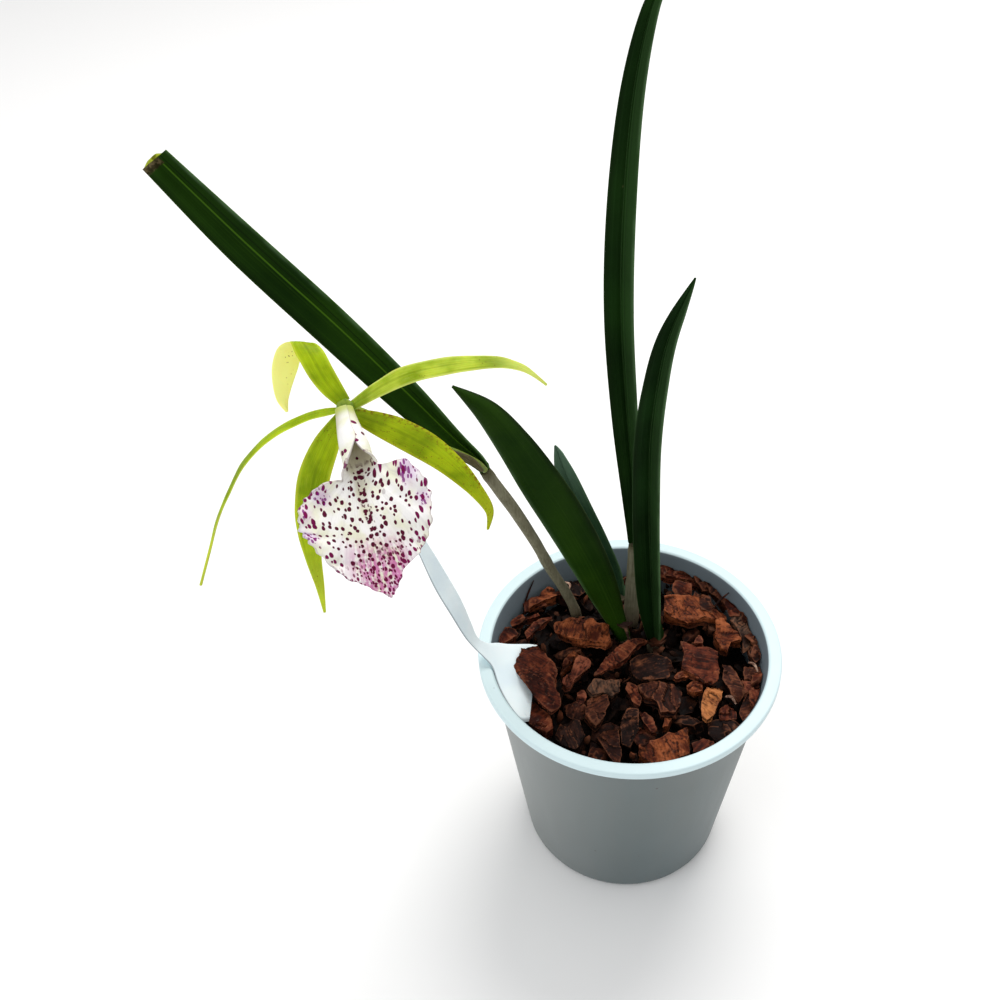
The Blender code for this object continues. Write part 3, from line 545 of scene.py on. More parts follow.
# Tint, height of the top, thickness and corners.
SHOWN_CHIPS = (
    ("orange", 92.5, 4.5, ((-24.3, 22.1), (-18.5, 21.6), (-15.3, 20.4), (-9.9, 18.7), (-8.9, 16),
     (-4.8, 15.2), (-5, 8.9), (-7, 7), (-11.7, 8), (-17.9, 10.8), (-25.2, 15.3))),
    ("rust", 97, 3.6, ((-37.4, 4.7), (-31.4, 4.6), (-29.1, 2), (-28.4, -1.7), (-26.4, -4.6), (-25.5, -8.6),
     (-26.4, -12.4), (-25, -17.4), (-25.1, -21.9), (-28.5, -22.7), (-34.1, -17.1), (-37.6, -10.3),
     (-40.5, -6.9), (-40.9, -3), (-38.8, 1.2))),
    ("rust", 91.5, 5, ((-37.3, -12.6), (-35.2, -12.4), (-31.9, -17.9), (-29.1, -21.9), (-28.4, -28.2),
     (-30.9, -29.7), (-36.6, -25), (-36.2, -19.1), (-38.2, -15.9))),
    ("dark", 90.5, 6, ((-27, -24.6), (-22.2, -22.8), (-19.6, -24.1), (-17.5, -30.1), (-21.6, -35.8),
     (-25.9, -33.4), (-28.6, -30.2))),
    ("orange", 90.5, 3, ((-18.5, 7), (-16.8, 5.5), (-18.7, 2), (-24, -4), (-24.4, -1.9), (-22.1, 2.3))),
    ("pink", 91, 4, ((-17, 2.7), (-13.4, 1.2), (-13.3, -1.6), (-16.2, -4.6), (-18.9, -6.7), (-21.1, -10.1),
     (-22.7, -10.3), (-24.2, -8.3), (-23.5, -5.6), (-20.5, -3.5))),
    ("rust", 92.5, 3, ((-13.6, -6.4), (-7.1, 1.3), (-2, 5.5), (2.8, 9.2), (7.5, 10.9), (8.1, 9.2),
     (5.4, 7.4), (-0.2, 0.1), (-5.9, -3.8), (-11.1, -6))),
    ("brown", 90.5, 4, ((-16.2, -14.6), (-11.7, -12.7), (-8.9, -13.9), (-8.4, -17.6), (-10.3, -22.2),
     (-14.2, -27.1), (-16, -24.4), (-17.2, -21.7))),
    ("grey", 91, 4, ((-15.5, -11.3), (-12.5, -8), (-8.8, -8.9), (-3.8, -7.8), (-4.1, -13), (-7.1, -15.1),
     (-10.1, -13.4), (-14, -14.3))),
    ("pink", 90, 3, ((-18.7, -11.4), (-16.7, -10.8), (-16, -14.3), (-17.5, -17.7), (-19.6, -17.8))),
    ("brown", 89, 4, ((-24.2, -15.8), (-20, -14.9), (-16.5, -17.7), (-16.3, -21.5), (-20.7, -22.8),
     (-23.9, -20.1))),
    ("brown", 89.5, 4, ((-10.5, -23.7), (-6.5, -25.1), (-6.7, -29.9), (-6.9, -38.7), (-8.2, -42),
     (-9.6, -41.5), (-11.5, -37.3), (-14.5, -28.2))),
    ("dark", 89.5, 5, ((-5.7, -24.8), (-2.4, -20.9), (0.8, -21.1), (0.2, -28.9), (-3.6, -34.6),
     (-6.2, -33.2))),
    ("orange", 91.5, 4.5, ((-1.1, -34.8), (4.4, -34.1), (7.3, -33.2), (11.2, -30.8), (16.5, -26.9),
     (16.2, -32.4), (15.4, -35.3), (15.9, -39.5), (14.2, -41.5), (8.3, -43.5), (2.9, -43.8),
     (-2.2, -38.8))),
    ("rust", 93, 4, ((19.8, 5.6), (23.2, 4), (28.3, 2.2), (32.2, 0.1), (30.1, -12.6), (27.3, -14.1),
     (24.8, -13.3), (22, -10.5), (18.4, -7.3), (18, -5.4), (20, 0))),
    ("pink", 92, 3, ((23.9, 4.8), (27, 9.4), (27.5, 4.3))),
    ("straw", 92.5, 4, ((27.5, -13.5), (30.9, -13.1), (32, -15.3), (29.8, -18.4), (25.2, -27.6),
     (22.6, -29.3), (21.4, -27.3), (21.9, -21.4), (25.9, -14.9))),
    ("dark", 91, 6, ((0.9, -0.6), (5.3, 2.4), (9.7, 3.8), (12.7, 1.7), (15, -0.6), (16.9, -3.3),
     (13.1, -8.8), (8.1, -9.2), (2.8, -8.8), (0.2, -5.3))),
    ("brown", 91.5, 5, ((2, -10.6), (5.5, -10.3), (9.5, -10.3), (11.2, -12.2), (14.9, -11.9), (17.3, -15),
     (15.9, -20.6), (13.1, -23), (8.3, -23.4), (7.5, -19.4), (3.8, -15.8))),
    ("orange", 91.5, 2.5, ((14.5, -9.1), (19.8, -6.5), (19.9, -9.1), (15.5, -10.7))),
    ("orange", 91, 3.5, ((18.9, -12.7), (22.1, -10.5), (25.1, -11.7), (24.1, -14.9), (21.2, -15.6),
     (18.8, -14.1))),
    ("rust", 90, 5, ((-0.6, -9), (1.6, -11.4), (3, -16.2), (1.9, -19.1), (-0.6, -17.2), (-2, -12.4))),
    ("rust", 90, 3, ((0.6, -20.3), (3, -22.1), (4.7, -25.4), (6.3, -29.5), (4.3, -30.6), (2.3, -27))),
    ("orange", 89, 3, ((9.5, -23.5), (11.9, -24.1), (10.3, -28.1), (8, -28.3))),
    ("brown", 90, 4, ((33.4, -1.2), (37.1, -7.3), (38.4, -14), (37.7, -17.3), (35.7, -21), (33.6, -17.1),
     (32.2, -10.8))),
    ("brown", 90, 4, ((41, -3.3), (45.2, -4.5), (46, -9.1), (43.7, -14.2), (38.1, -16.2))),
    ("pink", 90.5, 3, ((38.9, -12), (41.8, -12.5), (40.9, -16.6), (38.2, -17.1))),
    ("brown", 89.5, 4, ((38.4, -16.2), (43.7, -16.1), (43.7, -19.7), (39.3, -24.4), (35.4, -27.6),
     (34.6, -24.5))),
    ("rust", 90, 4, ((27.9, -23.6), (31.3, -20.4), (33.7, -24.1), (33.7, -27.4), (29.6, -27.5),
     (27.4, -27))),
    ("dark", 89, 5, ((24.1, -26.6), (29.9, -26.2), (34.7, -28.9), (30.4, -33.5), (25.8, -36.1),
     (22.9, -31.9))),
    ("rust", 89.5, 4, ((16.7, -35.5), (20.7, -33.7), (24.3, -34.4), (24.9, -36.1), (20.5, -38.8),
     (16.4, -39.3))),
    ("orange", 92, 5, ((17.1, 27.1), (23.7, 27.3), (30.5, 29.2), (33.9, 26.4), (39.5, 22.9), (38.8, 17.3),
     (35.1, 16), (30.4, 16.9), (23.6, 14.3), (17.8, 17.1), (15.9, 19.5))),
    ("rust", 92.5, 4, ((19.6, 43.4), (26.1, 41.6), (29.3, 38.5), (31, 35.1), (25.8, 35.5), (18.9, 38.7))),
    ("pink", 91, 3, ((24.6, 35.8), (30.2, 35.3), (31.2, 33.2), (26.9, 32.9))),
    ("orange", 91.5, 4.5, ((34.2, 16.2), (36.8, 15.7), (39.1, 12.2), (41.2, 8.9), (41.7, 5.8), (37.7, 4.5),
     (35.6, 0.6), (33.8, 2.8), (32.1, 8.5))),
    ("grey", 91.5, 4.5, ((41.3, 20), (44.2, 16), (46.4, 14.9), (47.2, 10.8), (44.7, 2.6), (41.7, 0.5),
     (41.6, 5.8), (40.6, 11.3), (39.2, 14.6))),
    ("dark", 90, 4, ((43.6, 2.4), (47.6, 2.5), (47, -3.2), (43.8, -3.8))),
    ("orange", 91.5, 4, ((-28.6, 34.6), (-24.4, 38.3), (-22.6, 36.3), (-22.2, 33), (-26.4, 30.9),
     (-33.7, 26), (-33, 28.7))),
    ("rust", 91, 3, ((-35, 23.9), (-29.8, 25.1), (-29.3, 23.4), (-33.9, 22.1), (-36.6, 20.8))),
    ("rust", 91.5, 2.5, ((-35.6, 15.8), (-31.9, 20.1), (-28.3, 21.6), (-24.4, 24.2), (-24.6, 21.9),
     (-28.3, 19.2), (-32.1, 14.7), (-35, 11.7))),
    ("dark", 87, 5, ((-41.5, 24.9), (-37.8, 31.6), (-35.4, 27.4), (-37, 18.7), (-41.3, 13.8))),
    ("dark", 87.5, 5, ((-21.7, 43.3), (-17.5, 47.7), (-12.4, 45.1), (-10.1, 37.5), (-13.5, 33.7),
     (-20, 36.4))),
)
# Where each cane or leaf stands in the bed: x, y and the room it takes.
FEET = ((-14.2, 27.8, 3.4), (0.6, 15.2, 3.4), (1.2, 33.3, 2.8), (4.4, 22.8, 3.2), (11.9, 13.0, 4.2))
BED_FLOOR, LOOSE_CHIPS, CRUMBS, GOLDEN_ANGLE = 79.0, 110, 420, 2.39996


class Bed:
    """Collects many bits of bark in one bmesh, with their tint, grain and bulge in step with its points; the
    bulge drives rubbed paler edges, painted highlight and painted shade.
    """

    def __init__(self):
        self.bm = bmesh.new()
        self.tint, self.grain, self.wear = [], [], []

    def add(self, bm, place, tint, seed):
        shift = Vector((seed * 31.7, seed * 11.3, seed * 5.9))
        with_grain = Matrix.Rotation(seed * 1.9, 3, "Z")
        bm.normal_update()
        for dot in bm.verts:
            round_it = [edge.other_vert(dot).co for edge in dot.link_edges]
            bulge = (dot.co - sum(round_it, Vector()) / len(round_it)).dot(dot.normal)
            self.wear.append(max(-1.0, min(1.0, bulge * 4)))
            self.tint.append(TINTS[tint])
            self.grain.append(with_grain @ dot.co + shift)
        bm.transform(place)
        for dot in bm.verts:
            dot.co = settle(dot.co)
        bits = bpy.data.meshes.new("bits")
        bm.to_mesh(bits)
        bm.free()
        self.bm.from_mesh(bits)
        bpy.data.meshes.remove(bits)

    def piece(self, name, finish):
        columns = {"tint": self.tint, "grain": self.grain, "wear": self.wear}
        return add_piece(name, (self.bm, columns), finish, ["bark"], sharp=38)


def settle(spot):
    """Keeps a point of bark inside the pot and out of the canes and leaf bases."""
    limit = wall_radius(spot.z) - 0.5
    reach = math.hypot(spot.x, spot.y)
    if reach > limit:
        spot = Vector((spot.x * limit / reach, spot.y * limit / reach, spot.z))
    for x, y, room in FEET:
        away = Vector((spot.x - x, spot.y - y, 0))
        if away.length < room:
            spot = Vector((x, y, spot.z)) + away.normalized() * room
    return spot


def loose_outline(length, width, draw):
    corners = []
    for k in range(6):
        around = (k + draw.uniform(-0.3, 0.3)) * math.tau / 6
        reach = draw.uniform(0.6, 1.15) / 2
        corners.append((length * reach * math.cos(around), width * reach * math.sin(around)))
    return corners


WALL_CHIPS = (
    (21, 41), (27, 38), (32.5, 33.5), (37.5, 28), (41.5, 21.5), (44, 14), (45.5, 6), (45.5, -2), (44.5, -10),
    (41.5, -19), (-31, 30), (-38, 22), (-42, 14), (12, 41), (24, 31), (31, 26),
)


def bark_bed(finish):
    draw = random.Random(12)
    bed = Bed()
    for k, (tint, top, thick, outline) in enumerate(SHOWN_CHIPS):
        x = sum(corner[0] for corner in outline) / len(outline)
        y = sum(corner[1] for corner in outline) / len(outline)
        chip = chip_slab([(corner[0] - x, corner[1] - y) for corner in outline], thick, draw)
        cut_fine(chip, 0.95)
        weather_chip(chip, k + 1)
        bed.add(chip, chip_place((x, y, top), (0, draw.uniform(-7, 7), draw.uniform(-7, 7))), tint, k + 1)
    for k, (x, y) in enumerate(WALL_CHIPS):
        chip = chip_slab(loose_outline(draw.uniform(10, 15), draw.uniform(5, 8), draw), 4, draw)
        cut_fine(chip, 1.2)
        weather_chip(chip, k + 300)
        along_wall = math.degrees(math.atan2(y, x)) + 90
        turns = (along_wall + draw.uniform(-35, 35), draw.uniform(-25, 25), draw.uniform(-35, 10))
        centre = (x, y, draw.uniform(90.5, 93.5))
        bed.add(chip, chip_place(centre, turns), draw.choice(("rust", "brown")), k + 300)
    for k in range(LOOSE_CHIPS):
        reach = 43.5 * math.sqrt((k + 0.5) / LOOSE_CHIPS)
        around = k * GOLDEN_ANGLE + 0.8
        outline = loose_outline(draw.uniform(8, 17), draw.uniform(4, 8.5), draw)
        chip = chip_slab(outline, draw.uniform(2.5, 5), draw)
        cut_fine(chip, 1.7)
        weather_chip(chip, k + 60)
        centre = (reach * math.cos(around), reach * math.sin(around), draw.uniform(79.0, 88.0))
        turns = (draw.uniform(0, 360), draw.uniform(-30, 30), draw.uniform(-25, 25))
        bed.add(chip, chip_place(centre, turns), draw.choice(("rust", "brown", "dark")), k + 60)
    return bed.piece("bark_chips", finish)


# %% [markdown]
# Between the chips lie crumbs: the same bark, broken small. There are hundreds, so each is only a
# small crumpled ball of a few dozen faces. Under them a bed closes the view down to the wall; it is
# painted nearly black, as the shade deep between the chips.

# %% Crumbs and the bed below
def bark_crumbs(finish):
    draw = random.Random(5)
    bed = Bed()
    for k in range(CRUMBS):
        reach = 44.5 * math.sqrt(draw.random())
        around = draw.uniform(0, math.tau)
        size = draw.uniform(0.5, 1.4)
        crumb = bmesh.new()
        bmesh.ops.create_icosphere(crumb, subdivisions=1, radius=1.0)
        for dot in crumb.verts:
            dot.co *= draw.uniform(0.7, 1.25)
        stretch = Matrix.Diagonal((size * draw.uniform(1, 2.6), size, size * draw.uniform(0.35, 0.8), 1))
        crumb.transform(stretch)
        centre = (reach * math.cos(around), reach * math.sin(around), draw.uniform(81.5, 87.5))
        turns = [draw.uniform(0, 360) for _ in range(3)]
        bed.add(crumb, chip_place(centre, turns), draw.choice(("rust", "brown", "dark")), k + 200)
    return bed.piece("bark_crumbs", finish)


def bed_below(finish):
    rings = [(reach, BED_FLOOR + 0.8 * math.sin(reach)) for reach in range(44, 0, -2)]
    profile = [
        (0, FLOOR + 0.3), (wall_radius(4) - 4.5, FLOOR + 0.3), (wall_radius(6.2) - 0.5, 6.7),
        (wall_radius(40) - 0.5, 40), (wall_radius(78) - 0.5, 78), *rings, (0, BED_FLOOR),
    ]
    bm = turned(profile, 96)
    for dot in bm.verts:
        if dot.co.z > BED_FLOOR - 0.5:
            dot.co.z += noise.noise(dot.co * 0.35) * 1.6 + noise.noise(dot.co * 1.1) * 0.5
    grain = [dot.co.copy() for dot in bm.verts]
    # Painted shade: the bed gets the dark tint and a hollow's value, so the finish paints it nearly black.
    columns = {"tint": [TINTS["dark"]] * len(grain), "grain": grain, "wear": [-0.3] * len(grain)}
    return add_piece("bark_below", (bm, columns), finish, ["bark"])


# %% [markdown]
# Bark's colour is what sells it. Each chip has a tint of its own; its layers and fibres darken and
# lighten it, raised edges are painted paler, partly as rubbed bark and partly as painted highlight,
# painted shade darkens the hollows, and the deeper a chip lies the blacker it is painted, as the shade
# between the chips. All of it reads the chip's own grain, so no pattern runs across from one chip to
# the next.

# %% The bark's finish
def bark_finish():
    finish = Finish("bark", Specular_IOR_Level=0.12)
    grain, tint, wear = finish.direction("grain"), finish.direction("tint"), finish.number("wear")
    x, y, z = finish.parts(grain)
    warp = finish.noise(grain, 0.1, 3.0)
    layers = finish.noise(finish.vector(x * 0.05, y * 0.05, z * 0.9 + warp * 2.0), 1.0, 3.0, 0.6)
    fibres = finish.noise(finish.vector(x * 0.1, y * 1.5, z * 1.5), 1.0, 3.0, 0.6)
    patches = finish.noise(grain, 0.17, 4.0, 0.6)
    pits = finish.noise(grain, 0.7, 2.0, 0.6)
    dark = finish.blend(1.0, tint, paint(128, 100, 92), "MULTIPLY")
    light = finish.blend(0.4, tint, paint(190, 116, 76))
    share = 0.25 * layers + 0.25 * fibres + 0.5 * patches
    finish.colour = finish.blend(finish.step(share, 0.58, 0.42), tint, dark)
    finish.coat(finish.step(share, 0.52, 0.66) * 0.75, light)
    finish.coat(finish.step(pits, 0.46, 0.2) * 0.6, paint(14, 5, 3))
    # Raised edges: partly worn paler by rubbing, partly painted highlight.
    finish.coat(finish.step(wear, 0.25, 0.9) * 0.22, paint(170, 108, 76))
    # Painted shade in the hollows.
    finish.coat(finish.step(wear, -0.05, -0.5) * 0.7, paint(12, 4, 2))
    dust = finish.step(finish.noise(grain, 0.4, 4.0, 0.7), 0.62, 0.76)
    finish.coat(dust * 0.22, paint(150, 128, 112))
    # Painted shade: the deeper a point lies, the blacker, as the shade between the chips.
    height = finish.parts(finish.place())[2]
    finish.coat(finish.step(height, 90.5, 84.0) * 0.92, paint(8, 3, 2))
    return finish.done(0.55 + 0.3 * fibres, 0.22 * fibres + 0.14 * pits + 0.15 * layers)


bark = bark_finish()
bark_bed(bark)
bark_crumbs(bark)
bed_below(bark)

# %% [markdown]
# Long plant parts share one idea: a round bar, closed at both ends and cut into rings, whose points
# are moved to where a formula puts them. The formula gets how far along the point is and how far
# across, so one bar becomes a leaf, a sepal, a cane or a stalk, and stays one closed surface.

# %% Bars that become plant parts
CAP_RINGS = (0.12, 0.12, 0.13, 0.13, 0.13, 0.13, 0.12)


def round_bar(around, steps):
    """A closed bar of radius 1 along Z from 0 to 1, with its ends closed by small rings."""
    bm = bmesh.new()
    standing = Matrix.Translation((0, 0, 0.5))
    bmesh.ops.create_cone(bm, cap_ends=True, segments=around, radius1=1, radius2=1, depth=1, matrix=standing)
    long_edges = [edge for edge in bm.edges if abs(edge.verts[0].co.z - edge.verts[1].co.z) > 0.5]
    bmesh.ops.subdivide_edges(bm, edges=long_edges, cuts=steps - 1, use_grid_fill=True)
    caps = [face for face in bm.faces if len(face.verts) > 4]
    for thickness in CAP_RINGS:
        bmesh.ops.inset_individual(bm, faces=caps, thickness=thickness)
    bmesh.ops.poke(bm, faces=caps)
    return bm


def strip_frame(points, faces, share):
    """The middle, the direction across and the direction it faces, at one place on a strip."""
    step = 0.004
    run = (smooth(points, share + step) - smooth(points, share - step)).normalized()
    face = smooth(faces, share)
    face = (face - run * face.dot(run)).normalized()
    return smooth(points, share), run.cross(face), face


def thin_bar(place, section, around, steps, swell=None):
    """A bar pressed into a leaf: place gives its middle sheet, and section its top and bottom there.

    The far end stays flat unless swell gives how far it bulges at each place across it.
    """
    bm = round_bar(around, steps)
    columns = {"side": [], "along": [], "upper": [], "cap": []}
    for dot in bm.verts:
        side, up, share = dot.co
        cap = 1 - math.hypot(side, up) if swell and share > 0.9999 else 0.0
        high = math.sqrt(max(1 - side * side, 1e-6))
        upper = max(-1.0, min(1.0, up / high))
        across = place(share, side + 0.02) - place(share, side - 0.02)
        run = place(min(share + 0.004, 1), side) - place(max(share - 0.004, 0), side)
        out = across.cross(run).normalized()
        top, bottom = section(share, side)
        blunt = math.sqrt(max(1 - abs(side) ** 6, 0.0))
        dot.co = place(share, side) + out * ((top + bottom) / 2 + upper * (top - bottom) / 2 * blunt)
        if cap > 0.001:
            dot.co += run.normalized() * swell(side) * (1 - (1 - cap) ** 4)
        for label, value in (("side", side), ("along", share), ("upper", upper), ("cap", cap)):
            columns[label].append(value)
    bmesh.ops.recalc_face_normals(bm, faces=bm.faces)
    return bm, columns


print("a bar of 8 by 4 has", len(round_bar(8, 4).faces), "faces")

# %% [markdown]
# The leaves are thick and fleshy, folded along the midrib into a channel, and end in a point, except
# the longest one, whose end was cut off. The tables give each leaf's middle line, its half width and
# how far it is folded; the flesh grows behind that sheet and thins towards the margins.

# %% The leaves' shapes
# x, y, z, half width and fold in degrees from base to tip, then the way the channel faces.
LEAVES = {
    "a": (
        ((-44.7, 3.6, 179.8, 1.1, 44), (-47.6, 3.5, 185.3, 2.7, 44), (-54.4, 6.6, 191.0, 4.2, 38),
         (-67.0, 14.4, 202.2, 5.6, 28), (-85.6, 21.1, 223.1, 6.1, 24), (-107.3, 27.3, 247.7, 5.8, 26),
         (-127.3, 34.4, 271.1, 4.6, 34)),
        ((0.0, -0.85, 0.52), (0.1, -0.83, 0.55)),
    ),
    "b": (
        ((0.1, 15.6, 86.9, 2.8, 30), (-6.0, 16.3, 106.6, 5.6, 20), (-12.4, 16.6, 125.7, 6.8, 14),
         (-20.2, 16.9, 145.2, 7.2, 12), (-28.1, 17.1, 162.5, 6.8, 12), (-35.5, 17.4, 178.0, 5.6, 12),
         (-43.5, 17.7, 191.8, 3.8, 12), (-53.3, 18.0, 202.2, 0.4, 8)),
        ((-0.1, 0.9, -0.3), (-0.1, 0.85, -0.5)),
    ),
    "c": (
        ((1.5, 33.0, 89.2, 2.2, 34), (-1.8, 32.4, 103.3, 4.2, 28), (-7.6, 31.8, 119.9, 5.0, 24),
         (-13.8, 31.2, 137.6, 4.6, 20), (-18.9, 30.6, 154.2, 3.4, 18), (-22.1, 30.0, 166.4, 0.4, 14)),
        ((-0.35, -0.9, 0.0), (-0.2, -0.9, 0.3)),
    ),
    "d": (
        ((4.2, 22.6, 126.8, 2.0, 40), (2.8, 21.8, 150.0, 3.9, 42), (-0.5, 20.7, 186.0, 5.1, 40),
         (-3.3, 19.8, 222.0, 5.2, 38), (-3.8, 18.8, 255.0, 4.7, 36), (-2.4, 17.9, 285.6, 3.6, 34),
         (1.0, 17.0, 307.0, 2.2, 30), (5.6, 16.0, 317.4, 0.4, 20)),
        ((-0.35, -0.9, 0.1), (-0.3, -0.9, 0.3)),
    ),
    "e": (
        ((11.8, 12.9, 86.4, 2.8, 50), (9.5, 11.6, 110.0, 5.8, 50), (7.3, 10.3, 138.0, 6.2, 48),
         (5.8, 9.2, 163.3, 6.0, 46), (5.1, 8.2, 184.6, 5.5, 44), (5.9, 7.2, 204.2, 4.7, 42),
         (8.2, 6.1, 223.0, 3.4, 40), (13.8, 4.0, 242.4, 0.3, 30)),
        ((-0.4, -0.9, 0.1), (-0.35, -0.88, 0.3)),
    ),
}
LEAF_FLESH, LEAF_EDGE_SHARE = 2.2, 0.36
LEAF_AROUND, LEAF_STEP = 56, 1.8
CUT_LEAF_RIB, CUT_SLANT = 0.18, 0.007


def leaf_place(key):
    rows, faces = LEAVES[key]
    points, faces = vectors(rows), vectors(faces)
    widths, folds = [row[3] for row in rows], [row[4] for row in rows]

    def place(share, side):
        middle, across, face = strip_frame(points, faces, share)
        fold = math.radians(smooth(folds, share))
        reach = max(smooth(widths, share), 0.3) * side
        rise = (math.sqrt(reach * reach + 0.1) - math.sqrt(0.1)) * math.sin(fold)
        return middle + across * (reach * math.cos(fold)) + face * rise

    return place


def cut_place(place):
    """The cut leaf: cut a little aslant, so that its lower margin runs on furthest."""
    def ended(share, side):
        sooner = CUT_SLANT * (side + 1) / 2
        return place(share * (1 - sooner * share ** 6), side)

    return ended


def cut_swell(side):
    """How far the bare flesh bulges at the cut end, in mm: a lump, and a notch beside the upper margin."""
    return smooth((0.0, 0.35, 0.8, 1.05, 1.0, 0.2, -0.35, 0.0), (side + 1) / 2)


def leaf_section(share, side, rib_side=0.0, cut=False):
    """Top and bottom of the flesh: a crisp groove over the midrib and a faint ripple of long veins.

    The flesh thickens at the foot and thins to the tip. The cut leaf thins at its foot instead.
    """
    flesh = LEAF_FLESH * (LEAF_EDGE_SHARE + (1 - LEAF_EDGE_SHARE) * (1 - abs(side) ** 1.5))
    flesh *= 1 + 0.7 * math.exp(-(share / 0.06) ** 2)
    flesh *= min(1.0, 0.4 + share * 9) if cut else min(1.0, 0.2 + (1 - share) * 9)
    groove = 0.3 * math.exp(-((side - rib_side) / 0.07) ** 2) * min(1.0, share * 8)
    ripple = 0.05 * math.sin(side * 21) * (1 - abs(side))
    return ripple - groove, -flesh


# %% [markdown]
# A leaf this dark is many greens. Fine veins run its whole length, the midrib shows as a thin paler
# line, and beside it a darker line is painted shade of a shallow groove; on some leaves the half beyond
# the midrib is a shade lighter. A grey-green along the upper margin is partly waxy bloom and partly
# painted sheen, and one leaf's tip is painted paler, as if lit. Where the long leaf was cut,
# yellow-green flesh shows over a brown scar. All of it is read from each point's place across and
# along the leaf.

# %% The leaves' finish
def leaf_finish(name, dark, light, line, rib, bloom_and_sheen_share, rib_side, far_light, painted_light_tip):
    finish = Finish(name, Specular_IOR_Level=0.04)
    spot = finish.place()
    side, along, upper = finish.number("side"), finish.number("along"), finish.number("upper")
    cap = finish.number("cap")
    veins = finish.noise(finish.vector(side * 26.0, along * 2.0, upper), 1.0, 3.0, 0.6)
    fine = finish.noise(finish.vector(side * 90.0, along * 3.0, upper), 1.0, 2.0, 0.6)
    cloud = finish.noise(spot, 0.035, 3.0)
    front = finish.step(upper, -0.2, 0.4)
    finish.colour = finish.blend(finish.step(cloud, 0.3, 0.7), dark, light)
    finish.coat(finish.step(veins, 0.45, 0.75) * 0.14, line)
    midrib = finish.step(abs(side - rib_side - 0.05 * (cloud - 0.5)), 0.06, 0.015) * front
    finish.coat(midrib * rib * (0.6 + 0.4 * fine), line)
    # Painted shade: the second, darker line stands for a shallow groove beside the midrib.
    second = finish.step(abs(side - rib_side - 0.3), 0.05, 0.01) * front
    finish.coat(second * 0.6, paint(3, 12, 1))
    finish.coat(finish.step(side, -0.55, -0.95) * 0.5, paint(5, 16, 1))
    margin = finish.step(side, 0.93, 0.99) * 0.6 + finish.step(side, -0.93, -0.99) * 0.2
    finish.coat(margin, line)
    far_half = finish.step(side, 0.1, 0.18) * (0.6 + 0.4 * finish.step(abs(side - 0.2), 0.05, 0.02))
    finish.coat(far_half * front * far_light, line)
    # The grey-green upper margin: partly waxy bloom, partly painted sheen.
    bloom_and_sheen = finish.step(side, 0.74, 1.0) * finish.step(finish.noise(spot, 0.1, 3.0), 0.25, 0.6)
    finish.coat(bloom_and_sheen * bloom_and_sheen_share, paint(96, 126, 88))
    # Painted light: the tip is made paler, as if lit.
    finish.coat(finish.step(along, 0.5, 1.0) * painted_light_tip, paint(112, 142, 120))
    finish.coat(finish.specks(spot, 0.16, (0.07, 0.03), 0.03, (0.55, 0.66)) * 0.4, paint(84, 84, 50))
    moist = finish.step(finish.noise(spot, 0.6, 3.0), 0.4, 0.65)
    flesh = finish.blend(moist, paint(150, 162, 40), paint(92, 92, 20))
    finish.coat(finish.step(cap, 0.0, 0.06), flesh)
    return finish.done(0.4 + 0.14 * veins + 0.08 * cloud, 0.06 * veins + 0.03 * fine)


def cut_scar(finish):
    """Browns the last few millimetres of the cut leaf."""
    spot = finish.place()
    end = finish.step(finish.number("along") + 0.012 * finish.noise(spot, 0.9), 0.986, 0.991)
    end = end * finish.step(finish.number("cap"), 0.05, 0.0)
    end = end * finish.step(finish.number("side"), CUT_LEAF_RIB + 0.16, CUT_LEAF_RIB + 0.1)
    blotches = finish.step(finish.noise(spot, 0.8, 3.0), 0.4, 0.6)
    finish.coat(end * 0.9, finish.blend(blotches, paint(38, 32, 14), paint(88, 76, 52)))
    finish.give("Base Color", finish.colour)


def add_leaf(key, finish):
    points = vectors(LEAVES[key][0])
    length = (points[-1] - points[0]).length
    place, steps = leaf_place(key), max(40, round(length / LEAF_STEP))
    if key == "a":
        cut_scar(finish)
        section = functools.partial(leaf_section, rib_side=CUT_LEAF_RIB, cut=True)
        shape = thin_bar(cut_place(place), section, LEAF_AROUND, steps, cut_swell)
    else:
        shape = thin_bar(place, leaf_section, LEAF_AROUND, steps)
    return add_piece(f"leaf_{key}_blade", shape, finish, [f"leaf_{key}"])


# Dark, light and line colours, the shares of the midrib and of the bloom with its painted sheen, the rib's
# place across, and the shares of the lighter far half and of the painted light on the tip.
LEAF_LOOKS = {
    "a": (paint(12, 36, 2), paint(26, 54, 5), paint(70, 108, 22), 0.85, 0.5, CUT_LEAF_RIB, 0.0, 0.0),
    "b": (paint(14, 40, 4), paint(32, 58, 8), paint(70, 98, 34), 0.4, 0.35, 0.0, 0.1, 0.0),
    "c": (paint(20, 48, 26), paint(46, 78, 50), paint(84, 116, 88), 0.3, 0.5, 0.0, 0.1, 0.65),
    "d": (paint(8, 30, 3), paint(20, 48, 10), paint(62, 92, 52), 0.5, 0.35, 0.0, 0.3, 0.0),
    "e": (paint(7, 28, 4), paint(20, 48, 14), paint(62, 90, 52), 0.5, 0.4, 0.0, 0.3, 0.0),
}
for key, look in LEAF_LOOKS.items():
    add_leaf(key, leaf_finish(f"leaf_green_{key}", *look))

# %% [markdown]
# A cane is a slim stem wrapped in dry papery sheaths, one inside the next. Each sheath starts at a
# joint and ends a few centimetres higher in a ragged edge. It is a bar on a curved line whose radius
# steps down at each ragged edge, swells at each joint and carries the ribs of the paper.

# %% The canes
CANE_AROUND, CANE_STEP = 40, 0.8
